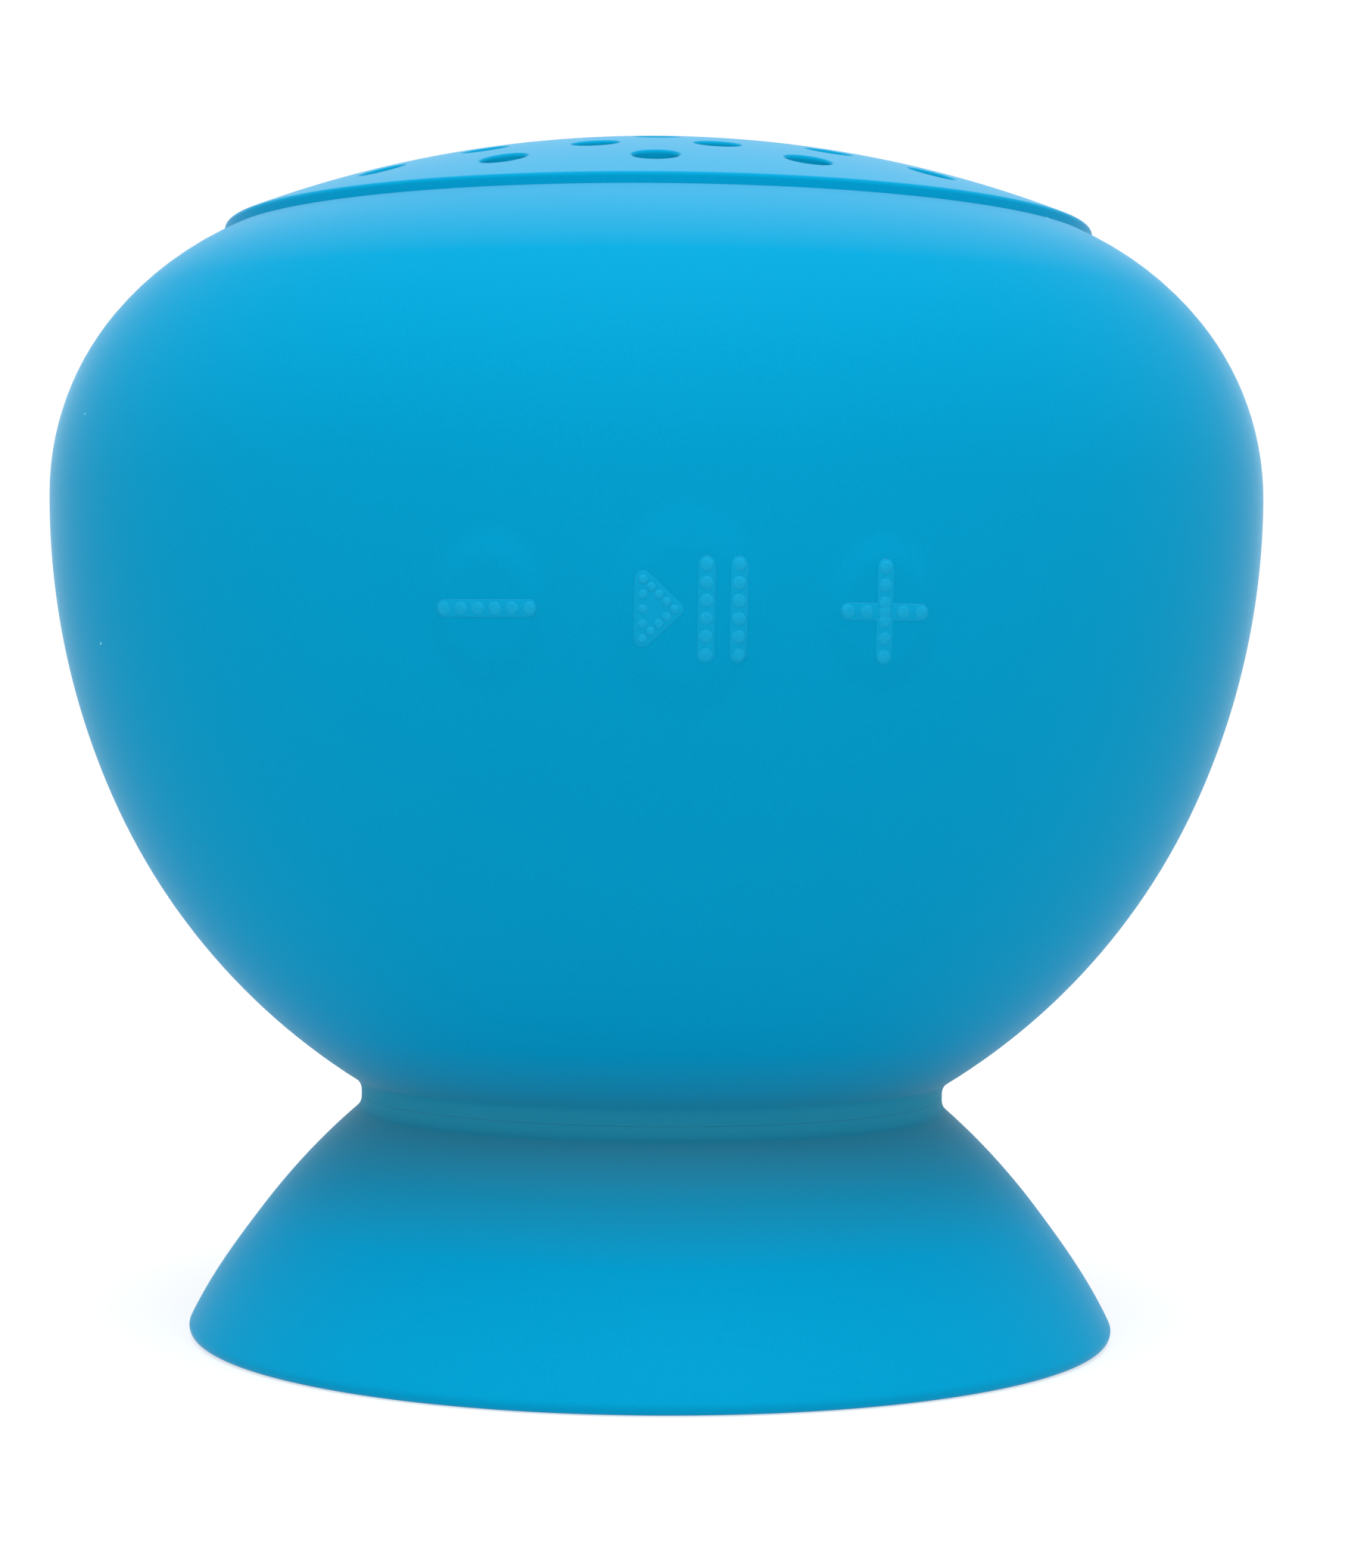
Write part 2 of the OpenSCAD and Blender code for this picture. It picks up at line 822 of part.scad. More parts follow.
// The charging socket's steel shell, open towards the rear.
module usb_socket() {
    wall = 0.3;
    depth = 5.6;
    mouth_y = panel_y - 0.1;
    color(steel)
        difference() {
            block(usb_x, mouth_y - depth, board_top, [usb_w, depth, usb_h]);
            block(usb_x, mouth_y - depth + wall, board_top + wall,
                [usb_w - 2 * wall, depth, usb_h - 2 * wall]);
        }
}

module usb_tongue() {
    color(chip_black)
        block(usb_x, panel_y - 5.3, board_top + 1.5, [4.6, 4.2, 0.7]);
}

// The power switch's body, with a slot for the slider.
module switch_housing() {
    depth = 3.9;
    front_y = panel_y - panel_t - 0.1;
    color(abs_dark)
        difference() {
            block(switch_x, front_y - depth, board_top, [switch_w, depth, switch_h]);
            block(switch_x, front_y - depth + 1, board_top + 0.8,
                [1.6 + switch_travel + 0.6, depth, 1.8]);
        }
}

// The slider that switches the power, in its off place.
module power_slider() {
    x = switch_x - switch_travel / 2;
    color(abs_dark)
        union() {
            block(x, panel_y - panel_t - 1.4, board_top + 1.1, [1.6, 1.6, 1.2]);
            block(x, panel_y - panel_t + 0.1, board_top + 0.7, [2, 2.4, 2.2]);
        }
}

module status_led() {
    color("white")
        block(0, panel_y - panel_t - 2.6, board_top, [1.6, 1, 0.8]);
}

module led_light_pipe() {
    color("white")
        translate([0, panel_y - panel_t - 1.2, led_z])
            rotate([-90, 0, 0])
                cylinder(r = pipe_r, h = panel_t + 1.1);
}

module key_board() {
    color(board_green)
        difference() {
            block(0, key_board_y + fit, board_top + 0.3, [25, 1, 6.8]);
            key_posts()
                translate([0, 0, -far / 2])
                    cylinder(r = 1, h = far);
        }
}

module tact_switches() {
    color(chip_black)
        for (x = [-key_pitch, 0, key_pitch])
            difference() {
                block(x, key_board_y - 2, key_z - 1.8, [3.6, 2, 3.6]);
                translate([x, key_board_y - 2 - fit, key_z])
                    rotate([-90, 0, 0])
                        cylinder(r = 1.1, h = 0.9);
            }
}

module plunger(x) {
    color(abs_dark)
        translate([x, nib_y + fit, key_z])
            rotate([-90, 0, 0])
                cylinder(r = 1, h = 0.9);
}

module plunger_minus() {
    plunger(-key_pitch);
}

module plunger_play() {
    plunger(0);
}

module plunger_plus() {
    plunger(key_pitch);
}

module key_board_screws() {
    color(steel)
        translate([0, 1 + 2 * fit, 0])
            key_posts()
                screw(0.8, 1.5, 1, 4, 0.6);
}

// The flat cable from the key board down to the main board.
module key_ribbon() {
    y = key_board_y + 1 + 2 * fit;
    t = 0.2;
    z = board_top + 0.4;
    color("#d8dbe0")
        translate([-2.5, 0, 0])
            rotate([90, 0, 90])
                linear_extrude(height = 5)
                    polygon([[y, z + 2], [y, z + 2 + t], [y + 1.4, z + 2 + t], [y + 1.4 + t, z + 2],
                        [y + 1.4 + t, z + t], [y + 2.6, z + t], [y + 2.6, z], [y + 1.4, z],
                        [y + 1.4, z + 2]]);
}

module ribbon_connector() {
    color(chip_black)
        block(0, key_board_y + 3.8, board_top, [6.4, 2, 1]);
}

// ---------------------------------------------------------------- battery

pad_z = cell_z - 1.5;

module battery_cell() {
    r = 2;
    color("#aeb4ba")
        translate([0, 0, cell_z])
            linear_extrude(height = cell_t)
                round_rect(-cell_l / 2, -cell_w / 2, cell_l, cell_w, r);
}

module battery_board() {
    color(board_green)
        block(0, cell_w / 2 + 0.1, cell_z + 1, [18, 1, 6]);
}

module battery_pad() {
    color(foam)
        block(0, -cell_w / 2 + 1, pad_z, [cell_l - 4, cell_w - 2, 1.5 - fit]);
}

module battery_wires() {
    color("#b03030")
        for (x = [0, 1.8])
            translate([x, 0, 0])
                tube([[4, 12.8, 28], [5, 13.6, 28.2], [7, 15.6, 29], [7.8, 16.8, 31], [8, 17.2, 33],
                    [8, 17.2, 35.5], [8, 16.6, 36.4], [8, 15.5, 36.8]], 0.55);
}

module battery_connector() {
    color("white")
        block(9, 11.2, board_top, [6, 4.2, 3]);
}

module speaker_wires() {
    color("#2f3136")
        for (y = [-1.5, 1.5])
            translate([0, y, 0])
                tube([[-20.9, 0, 51.5], [-21.4, 0, 50.6], [-21.6, 0, 48], [-21.4, 0, 44],
                    [-20.6, 0, 40], [-19.8, 0, 37.4], [-19.4, 0, 35.3]], 0.5);
}

suction_cup();
cup_stud();
stud_screw();
silicone_jacket();
key_minus();
key_play();
key_plus();
plunger_minus();
plunger_play();
plunger_plus();
port_flap();
upper_shell();
lower_shell();
shell_seal();
shell_screws();
acoustic_mesh();
driver_gasket();
driver_basket();
driver_magnet();
driver_top_plate();
driver_yoke();
driver_terminals();
driver_screws();
driver_surround();
driver_spider();
driver_cone();
dust_cap();
voice_coil_former();
voice_coil();
main_board();
main_board_screws();
radio_chip();
amplifier_chip();
power_inductor();
board_capacitors();
crystal();
chip_antenna();
usb_socket();
usb_tongue();
switch_housing();
power_slider();
status_led();
led_light_pipe();
key_board();
tact_switches();
key_board_screws();
key_ribbon();
ribbon_connector();
battery_cell();
battery_board();
battery_pad();
battery_wires();
battery_connector();
speaker_wires();
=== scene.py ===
import bmesh
import bpy
import math
from mathutils import Matrix, Vector


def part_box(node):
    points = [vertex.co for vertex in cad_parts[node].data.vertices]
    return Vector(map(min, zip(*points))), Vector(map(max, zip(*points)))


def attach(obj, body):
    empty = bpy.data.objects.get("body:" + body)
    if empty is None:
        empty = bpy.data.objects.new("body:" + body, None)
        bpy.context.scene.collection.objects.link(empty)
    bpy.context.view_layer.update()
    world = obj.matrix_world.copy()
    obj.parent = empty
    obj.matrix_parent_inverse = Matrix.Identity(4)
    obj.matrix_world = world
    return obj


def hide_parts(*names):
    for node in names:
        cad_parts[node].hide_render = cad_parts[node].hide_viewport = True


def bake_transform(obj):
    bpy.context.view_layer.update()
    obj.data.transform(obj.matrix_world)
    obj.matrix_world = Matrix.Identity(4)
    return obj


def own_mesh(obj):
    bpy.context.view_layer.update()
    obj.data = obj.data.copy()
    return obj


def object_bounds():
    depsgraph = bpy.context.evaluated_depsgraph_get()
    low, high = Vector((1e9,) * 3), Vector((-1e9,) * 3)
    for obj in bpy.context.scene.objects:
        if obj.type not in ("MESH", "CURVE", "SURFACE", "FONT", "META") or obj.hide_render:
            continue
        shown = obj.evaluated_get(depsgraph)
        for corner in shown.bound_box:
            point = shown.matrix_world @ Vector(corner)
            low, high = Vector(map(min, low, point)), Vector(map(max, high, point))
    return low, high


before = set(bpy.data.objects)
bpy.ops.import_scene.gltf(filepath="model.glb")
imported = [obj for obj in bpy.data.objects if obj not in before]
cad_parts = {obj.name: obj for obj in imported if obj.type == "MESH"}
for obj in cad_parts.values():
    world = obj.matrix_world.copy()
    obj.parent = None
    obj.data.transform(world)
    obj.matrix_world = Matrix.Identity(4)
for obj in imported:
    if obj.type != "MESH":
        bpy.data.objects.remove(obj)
cad_low, cad_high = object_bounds()
mm = 0.001


# ---------------------------------------------------------------- studio
# A white sweep under an even white sky, with one soft box overhead and one high in front. The
# camera looks straight ahead from about 20 cm, a little left of the axis, and is rolled by less
# than half a degree.

camera_distance = 196.2 * mm
camera_turn = math.radians(-2.6)
camera_roll = math.radians(0.45)
camera_height = 34.05 * mm
sensor_long_side = 36.0

camera_data = bpy.data.cameras.new("camera")
camera_data.sensor_width = sensor_long_side
camera_data.lens = 81.66
camera_data.shift_x = 0.0113
camera_data.shift_y = -0.0476
camera_data.clip_start = 0.01
camera_data.clip_end = 20
camera = bpy.data.objects.new("camera", camera_data)
camera.location = (
    camera_distance * math.sin(camera_turn),
    -camera_distance * math.cos(camera_turn),
    camera_height,
)
camera.rotation_euler = (math.radians(90), -camera_roll, camera_turn)
bpy.context.scene.collection.objects.link(camera)
bpy.context.scene.camera = camera
bpy.context.scene.view_settings.view_transform = "Standard"


def linear(code):
    """Linear colour of an sRGB hex code."""
    parts = [int(code[i : i + 2], 16) / 255 for i in (0, 2, 4)]
    return [p / 12.92 if p <= 0.04045 else ((p + 0.055) / 1.055) ** 2.4 for p in parts] + [1]


def add(tree, kind, settings=None, links=None):
    """Adds a node, sets its properties or sockets, and links outputs into its inputs."""
    node = tree.nodes.new(kind)
    for key, value in (settings or {}).items():
        if isinstance(key, str) and hasattr(node, key):
            setattr(node, key, value)
        else:
            node.inputs[key].default_value = value
    for key, output in (links or {}).items():
        tree.links.new(output, node.inputs[key])
    return node


world = bpy.data.worlds.new("white studio")
world.use_nodes = True
world.node_tree.nodes["Background"].inputs["Color"].default_value = (1, 1, 1, 1)
world.node_tree.nodes["Background"].inputs["Strength"].default_value = 1.0
bpy.context.scene.world = world


def soft_box(name, place, aim, size, power):
    """A square area light at place, turned towards aim."""
    data = bpy.data.lights.new(name, "AREA")
    data.size = size
    data.energy = power
    light = bpy.data.objects.new(name, data)
    light.location = place
    light.rotation_euler = (Vector(place) - Vector(aim)).to_track_quat("Z", "Y").to_euler()
    bpy.context.scene.collection.objects.link(light)
    return light


middle = (cad_low + cad_high) / 2
soft_box("overhead soft box", place=(0, -0.05, 0.42), aim=middle, size=0.26, power=0.45)
soft_box("high soft box", place=(0, -0.19, 0.38), aim=middle, size=0.26, power=0.85)

floor_reach = 3.0
floor_gap = 0.02 * mm
floor_glow = 0.62
bpy.ops.mesh.primitive_plane_add(size=2 * floor_reach, location=(0, 0, cad_low.z - floor_gap))
floor = bpy.context.object
floor.name = "floor"
floor_paint = bpy.data.materials.new("matt white paper")
floor_paint.use_nodes = True
floor_shader = floor_paint.node_tree.nodes["Principled BSDF"]
floor_shader.inputs["Base Color"].default_value = linear("AAAAAA")
floor_shader.inputs["Roughness"].default_value = 0.9
floor_shader.inputs["Specular IOR Level"].default_value = 0.0
floor_shader.inputs["Emission Color"].default_value = (1, 1, 1, 1)
floor_shader.inputs["Emission Strength"].default_value = floor_glow
floor.data.materials.append(floor_paint)


# ---------------------------------------------------------------- body skin
# The body is a thick silicone skin stretched over a hard shell. It is compression moulded in
# one piece, matt, and its outline is a chain of arcs from the neck up to the raised disc.

jacket_low, jacket_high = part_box("silicone_jacket")
body_r = jacket_high.x
split_z = jacket_low.z
widest_z = 45.5 * mm
shoulder_r = 15.0 * mm
shoulder_turn = math.radians(38.8)
crown_r = 16.8 * mm
belly_r = 40.3 * mm
belly_turn = math.radians(24)
waist_r = 34.8 * mm
neck_r = 15.95 * mm
neck_fillet = 0.9 * mm
skin_wall = 1.8 * mm
disc_r = 23.75 * mm
stud_hole_r = 4.55 * mm
key_z = 38.7 * mm


def polar(radius, angle):
    """The point at a radius and an angle from the origin."""
    return Vector((radius * math.cos(angle), radius * math.sin(angle)))


def arc(centre, radius, start, end, steps, skip=0):
    """Points along an arc in the plane of radius and height, leaving out the first few."""
    turn = (end - start) / steps
    return [centre + polar(radius, start + turn * i) for i in range(skip, steps + 1)]


shoulder_c = Vector((body_r - shoulder_r, widest_z))
crown_c = shoulder_c - polar(crown_r - shoulder_r, shoulder_turn)
belly_c = Vector((body_r - belly_r, widest_z))
waist_c = belly_c + polar(belly_r - waist_r, -belly_turn)
neck_drop = math.sqrt((waist_r + neck_fillet) ** 2 - (neck_r + neck_fillet - waist_c.x) ** 2)
neck_c = Vector((neck_r + neck_fillet, waist_c.y - neck_drop))
waist_end = math.atan2(waist_c.y - neck_c.y, neck_c.x - waist_c.x)


def belly_x(depth, height):
    """Radius of the belly at a depth under the surface."""
    return belly_c.x + math.sqrt((belly_r - depth) ** 2 - (height - belly_c.y) ** 2)


def skin_line(depth):
    """The skin's outline from the waist to the disc, with close rows where the keys are."""
    key_low, key_high, row = key_z - 7.5 * mm, key_z + 6.3 * mm, 0.25 * mm
    low_turn = math.asin((widest_z - key_low) / (belly_r - depth))
    high_turn = math.asin((widest_z - key_high) / (belly_r - depth))
    rows = round((key_high - key_low) / row)
    crown_end = math.acos((disc_r - crown_c.x) / (crown_r - depth))
    return (
        arc(waist_c, waist_r - depth, -waist_end, -belly_turn, 26, 1)
        + arc(belly_c, belly_r - depth, -belly_turn, -low_turn, 5, 1)
        + arc(belly_c, belly_r - depth, -low_turn, -high_turn, rows, 1)
        + arc(belly_c, belly_r - depth, -high_turn, 0, 2, 1)
        + arc(shoulder_c, shoulder_r - depth, 0, shoulder_turn, 14, 1)
        + arc(crown_c, crown_r - depth, shoulder_turn, crown_end, 8, 1)
    )


def face_out(bm):
    """Turns every face of a closed bmesh outwards."""
    bmesh.ops.recalc_face_normals(bm, faces=bm.faces)
    if bm.calc_volume(signed=True) < 0:
        bmesh.ops.reverse_faces(bm, faces=bm.faces)


def spun(line, sectors, closed=True):
    """A bmesh of revolution: line is turned about Z through (angle, steps) sectors in turn."""
    bm = bmesh.new()
    start = Matrix.Rotation(-math.pi / 2 - sectors[0][0] / 2, 3, "Z")
    verts = [bm.verts.new(start @ Vector((p.x, 0, p.y))) for p in line]
    pairs = list(zip(verts, verts[1:] + verts[:1]))
    edges = [bm.edges.new(pair) for pair in (pairs if closed else pairs[:-1])]
    last = verts + edges
    for angle, steps in sectors:
        made = bmesh.ops.spin(
            bm, geom=last, axis=(0, 0, 1), angle=angle, steps=steps, use_duplicate=False
        )
        last = made["geom_last"]
    bmesh.ops.remove_doubles(bm, verts=bm.verts, dist=0.001 * mm)
    bmesh.ops.dissolve_degenerate(bm, dist=1e-8, edges=bm.edges)
    bmesh.ops.delete(bm, geom=[e for e in bm.edges if e.is_wire], context="EDGES")
    face_out(bm)
    return bm


sharp_turn = 40


def piece(name, bm, sharp=sharp_turn):
    """Turns a bmesh into a smooth-shaded object whose edges stay sharp past an angle."""
    mesh = bpy.data.meshes.new(name)
    bm.to_mesh(mesh)
    bm.free()
    mesh.polygons.foreach_set("use_smooth", [True] * len(mesh.polygons))
    mesh.set_sharp_from_angle(angle=math.radians(sharp))
    obj = bpy.data.objects.new(name, mesh)
    bpy.context.scene.collection.objects.link(obj)
    return obj


def carve(obj, tool):
    """Cuts the solid tool out of obj for good, and removes the tool."""
    cut = obj.modifiers.new("cut", "BOOLEAN")
    cut.object = tool
    cut.solver = "MANIFOLD"
    bpy.context.view_layer.update()
    finished = obj.evaluated_get(bpy.context.evaluated_depsgraph_get())
    result = bpy.data.meshes.new_from_object(finished)
    obj.modifiers.clear()
    obj.data = result
    result.name = obj.name
    result.polygons.foreach_set("use_smooth", [True] * len(result.polygons))
    result.set_sharp_from_angle(angle=math.radians(sharp_turn))
    bpy.data.objects.remove(tool)


front_sector = (math.radians(56), 130)
rest_sector = (math.radians(304), 190)
skin_inner = skin_line(skin_wall)
skin_floor = skin_inner[0].y
skin_outline = (
    [Vector((stud_hole_r, split_z)), Vector((neck_r, split_z))]
    + arc(neck_c, neck_fillet, math.pi, math.pi - waist_end, 6)
    + skin_line(0)
    + skin_inner[::-1]
    + [Vector((stud_hole_r, skin_floor))]
)
skin = spun(skin_outline, [front_sector, rest_sector])


# ---------------------------------------------------------------- keys
# Each key is a soft oval dome moulded in the skin, with beaded marks standing on it. The skin
# round it bends when it is pressed, and each key's patch of skin is made as a piece of its own.

key_pitch = 9.2 * mm
key_proud = 0.2 * mm
dome_flat, dome_foot = 0.62, 1.1
lift_zone_wide, lift_zone_high = 14 * mm, 7 * mm
patch_zone_high = 8 * mm
skin_row_slack = 0.05 * mm
keys = {
    "minus": {"x": -key_pitch, "half": (2.65 * mm, 3.55 * mm), "reach": (3.7 * mm, 4.8 * mm)},
    "play": {"x": 0.0, "half": (3.6 * mm, 4.65 * mm), "reach": (4.6 * mm, 5.9 * mm)},
    "plus": {"x": key_pitch, "half": (2.65 * mm, 3.55 * mm), "reach": (3.7 * mm, 4.8 * mm)},
}


def smooth(low, high, value):
    """Goes from 0 at low to 1 at high, and levels off at both ends."""
    t = min(1.0, max(0.0, (value - low) / (high - low)))
    return t * t * (3 - 2 * t)


def outward(x, z):
    """Unit normal of the belly at sideways place x and height z, on the keys' side."""
    radius = belly_x(0, z)
    up = (z - belly_c.y) / belly_r
    level = math.sqrt(1 - up * up)
    return Vector((x / radius * level, -math.sqrt(1 - (x / radius) ** 2) * level, up))


def key_lift(x, z):
    """How far the skin stands proud at a place on the keys' side."""
    lift = 0.0
    for key in keys.values():
        away = math.hypot((x - key["x"]) / key["half"][0], (z - key_z) / key["half"][1])
        lift = max(lift, key_proud * (1 - smooth(dome_flat, dome_foot, away)))
    return min(lift, body_r - belly_x(0, z))


def key_surface(x, z, above=0.0):
    """Point of the keyed skin at sideways place x and height z."""
    radius = belly_x(0, z)
    flat = Vector((x, -math.sqrt(radius**2 - x**2), z))
    return flat + outward(x, z) * (key_lift(x, z) + above)


for vert in skin.verts:
    x, y, z = vert.co
    if y < 0 and abs(z - key_z) < lift_zone_high and abs(x) < lift_zone_wide:
        if abs(math.hypot(x, y) - belly_x(0, z)) < skin_row_slack:
            vert.co += outward(x, z) * key_lift(x, z)


def key_away(key, at):
    """How far a place on the skin is from a key's middle: 1 at the end of the key's reach."""
    round_r = belly_x(0, key_z)
    side = math.asin(max(-1, min(1, at.x / math.hypot(at.x, at.y))))
    sideways = (side - math.asin(key["x"] / round_r)) * round_r
    return math.hypot(sideways / key["reach"][0], (at.z - key_z) / key["reach"][1])


def key_faces(bm, key):
    """Faces of the skin, inside and out, within reach of a key."""
    found = []
    for face in bm.faces:
        at = face.calc_center_median()
        if at.y < 0 and abs(at.z - key_z) < patch_zone_high and key_away(key, at) < 1:
            found.append(face)
    return found


def wall_up(bm):
    """Closes the cut between the inner and outer surface round a patch or its hole."""
    open_edges = [e for e in bm.edges if e.is_boundary]
    bmesh.ops.bridge_loops(bm, edges=open_edges)
    face_out(bm)


key_patches = {}
for key_name, key in keys.items():
    patch = skin.copy()
    patch.faces.ensure_lookup_table()
    kept = set(key_faces(patch, key))
    bmesh.ops.delete(patch, geom=[f for f in patch.faces if f not in kept], context="FACES")
    wall_up(patch)
    key_patches[key_name] = patch
for key_name, key in keys.items():
    bmesh.ops.delete(skin, geom=key_faces(skin, key), context="FACES")
    open_edges = [e for e in skin.edges if e.is_boundary]
    bmesh.ops.bridge_loops(skin, edges=open_edges)
face_out(skin)
skin_body = piece("skin_body", skin)
patches = {}
for key_name, patch in key_patches.items():
    patches[key_name] = piece("key_" + key_name + "_skin", patch)


# ---------------------------------------------------------------- marks
# The minus, play-and-pause and plus marks are low ridges moulded on the keys, 0.8 mm wide, with
# small round beads along them, so that wet fingers can tell the keys apart.

stroke_r = 0.4 * mm
stroke_high = 0.02 * mm
bead_pitch = 0.8 * mm
bead_r = 0.33 * mm
small_bead_r = bead_r * 0.7
bead_high = 0.075 * mm
mark_root = -0.2 * mm
mark_grid = 0.4 * mm


def rounded_outline(corners, round_r):
    """The line that runs round equal circles at the corners of an anticlockwise shape."""
    line = []
    for i, corner in enumerate(corners):
        before = corner - corners[i - 1]
        after = corners[(i + 1) % len(corners)] - corner
        start, end = math.atan2(-before.x, before.y), math.atan2(-after.x, after.y)
        line += arc(corner, round_r, start, end if end > start else end + 2 * math.pi, 8)
    return line


def loft(levels):
    """A solid whose outlines, in X and Z, are given at each of its levels along Y."""
    bm = bmesh.new()
    loops = []
    for height, line in levels:
        verts = [bm.verts.new((p.x, height, p.y)) for p in line]
        loops.append([bm.edges.new(pair) for pair in zip(verts, verts[1:] + verts[:1])])
    for low, high in zip(loops, loops[1:]):
        bmesh.ops.bridge_loops(bm, edges=low + high)
    for loop in (loops[0], loops[-1]):
        bmesh.ops.contextual_create(bm, geom=loop)
    face_out(bm)
    return bm


def grid_cut(bm, low, high, step, axis):
    """Slices a bmesh at even steps along an axis."""
    count = max(2, round((high - low) / step))
    direction = Vector((axis == 0, axis == 1, axis == 2))
    for i in range(1, count):
        place = direction * (low + (high - low) * i / count)
        bmesh.ops.bisect_plane(
            bm, geom=bm.verts[:] + bm.edges[:] + bm.faces[:], plane_co=place, plane_no=direction
        )


def join(bm, part):
    """Adds a bmesh to another one, and frees it."""
    made = bpy.data.meshes.new("part")
    part.to_mesh(made)
    part.free()
    bm.from_mesh(made)
    bpy.data.meshes.remove(made)


def ridge(corners):
    """A low ridge with rounded edges on the keyed skin, round the corners given."""
    edge = stroke_high * 0.8
    levels = [
        (mark_root, rounded_outline(corners, stroke_r)),
        (0, rounded_outline(corners, stroke_r)),
        (stroke_high - edge * 0.3, rounded_outline(corners, stroke_r - edge * 0.3)),
        (stroke_high, rounded_outline(corners, stroke_r - edge)),
    ]
    part = loft(levels)
    xs, zs = [p.x for p in levels[0][1]], [p.y for p in levels[0][1]]
    grid_cut(part, min(xs), max(xs), mark_grid, 0)
    grid_cut(part, min(zs), max(zs), mark_grid, 2)
    for vert in part.verts:
        vert.co = key_surface(vert.co.x, vert.co.z, vert.co.y)
    face_out(part)
    return part


def bead(place, size):
    """A round bead on the keyed skin, lower than it is wide."""
    part = bmesh.new()
    bmesh.ops.create_uvsphere(part, u_segments=16, v_segments=8, radius=size)
    bmesh.ops.scale(part, vec=(1, 1, bead_high / size), verts=part.verts)
    turn = outward(place.x, place.y).to_track_quat("Z", "Y").to_matrix().to_4x4()
    seat = Matrix.Translation(key_surface(place.x, place.y)) @ turn
    bmesh.ops.transform(part, matrix=seat, verts=part.verts)
    return part


play_triangle = [(-2.05, 1.35), (-2.05, -1.35), (-0.6, 0)]
mark_strokes = {
    "minus": [((-1.95, 0), (1.95, 0))],
    "play": [((0.85, 2.05), (0.85, -2.05)), ((2.35, 2.05), (2.35, -2.05))],
    "plus": [((-1.75, 0), (1.75, 0)), ((0, 2.05), (0, -2.05))],
}

marks = {}
beads = {}
for key_name, strokes in mark_strokes.items():
    ridge_bm = bmesh.new()
    bead_bm = bmesh.new()
    middle_of_key = Vector((keys[key_name]["x"], key_z))
    if key_name == "play":
        triangle = [middle_of_key + Vector(p) * mm for p in play_triangle]
        join(ridge_bm, ridge(triangle))
        for a, b in zip(triangle, triangle[1:] + triangle[:1]):
            for i in range(4):
                join(bead_bm, bead(a.lerp(b, i / 4), small_bead_r))
    for start, end in strokes:
        a, b = middle_of_key + Vector(start) * mm, middle_of_key + Vector(end) * mm
        join(ridge_bm, ridge([a, b]))
        steps = round((b - a).length / bead_pitch)
        for i in range(steps + 1):
            join(bead_bm, bead(a.lerp(b, i / steps), bead_r))
    marks[key_name] = piece("mark_" + key_name, ridge_bm)
    beads[key_name] = piece("beads_" + key_name, bead_bm)

# The patches, marks and beads are fixed where they stand, and the CAD keys are hidden.
for key_name, key in keys.items():
    for obj in (patches[key_name], marks[key_name], beads[key_name]):
        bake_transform(obj)
    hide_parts("key_" + key_name)


# ---------------------------------------------------------------- sound disc
# The raised disc over the driver is part of the skin. Its sound holes are punched through by
# pins in the mould, on rings, and their rims come out slightly rounded.

dome_r = 61.5 * mm
disc_top = 64.9 * mm
dome_c = Vector((0, disc_top - dome_r))
disc_edge = 0.3 * mm
hole_r = 1.15 * mm
hole_rim = 0.22 * mm
pin_deep, pin_proud = 4 * mm, 0.4 * mm
ring_r = 19.9 * mm
ring_step = 4.0 * mm
ring_counts = [16, 16, 12, 8]
ring_turn = math.radians(-93.1)

edge_reach = dome_r - disc_edge
edge_c = Vector((disc_r - disc_edge, 0))
edge_c.y = dome_c.y + math.sqrt(edge_reach**2 - edge_c.x**2)
edge_tilt = math.acos(edge_c.x / edge_reach)
inner_reach = dome_r - skin_wall
disc_inner_tilt = math.acos(disc_r / inner_reach)
crown_inner = crown_c.y + math.sqrt((crown_r - skin_wall) ** 2 - (disc_r - crown_c.x) ** 2)
disc_outline = (
    [Vector((disc_r, crown_inner))]
    + arc(edge_c, disc_edge, 0, edge_tilt, 6)
    + arc(dome_c, dome_r, edge_tilt, math.pi / 2, 46, 1)
    + arc(dome_c, inner_reach, math.pi / 2, disc_inner_tilt, 12)
)
disc_bm = spun(disc_outline, [(2 * math.pi, 192)], closed=True)
skin_disc = piece("skin_disc", disc_bm)

hole_places = [(0.0, 0.0)]
for ring, count in enumerate(ring_counts):
    for i in range(count):
        angle = ring_turn + (ring % 2) * math.pi / count + 2 * math.pi * i / count
        hole_places.append(tuple(polar(ring_r - ring * ring_step, angle)))

pins = bmesh.new()
for x, y in hole_places:
    height = dome_c.y + math.sqrt(dome_r**2 - x * x - y * y)
    rim_c = Vector((hole_r + hole_rim, -hole_rim))
    line = (
        [Vector((0, -pin_deep)), Vector((hole_r, -pin_deep))]
        + arc(rim_c, hole_rim, math.pi, math.radians(105), 5)
        + [Vector((hole_r + hole_rim * 1.1, pin_proud)), Vector((0, pin_proud))]
    )
    pin = spun(line, [(2 * math.pi, 40)], closed=False)
    slope = Matrix.Identity(4)
    slope[2][0], slope[2][1] = -x / (height - dome_c.y), -y / (height - dome_c.y)
    bmesh.ops.transform(pin, matrix=Matrix.Translation((x, y, height)) @ slope, verts=pin.verts)
    join(pins, pin)
carve(skin_disc, piece("pins", pins))

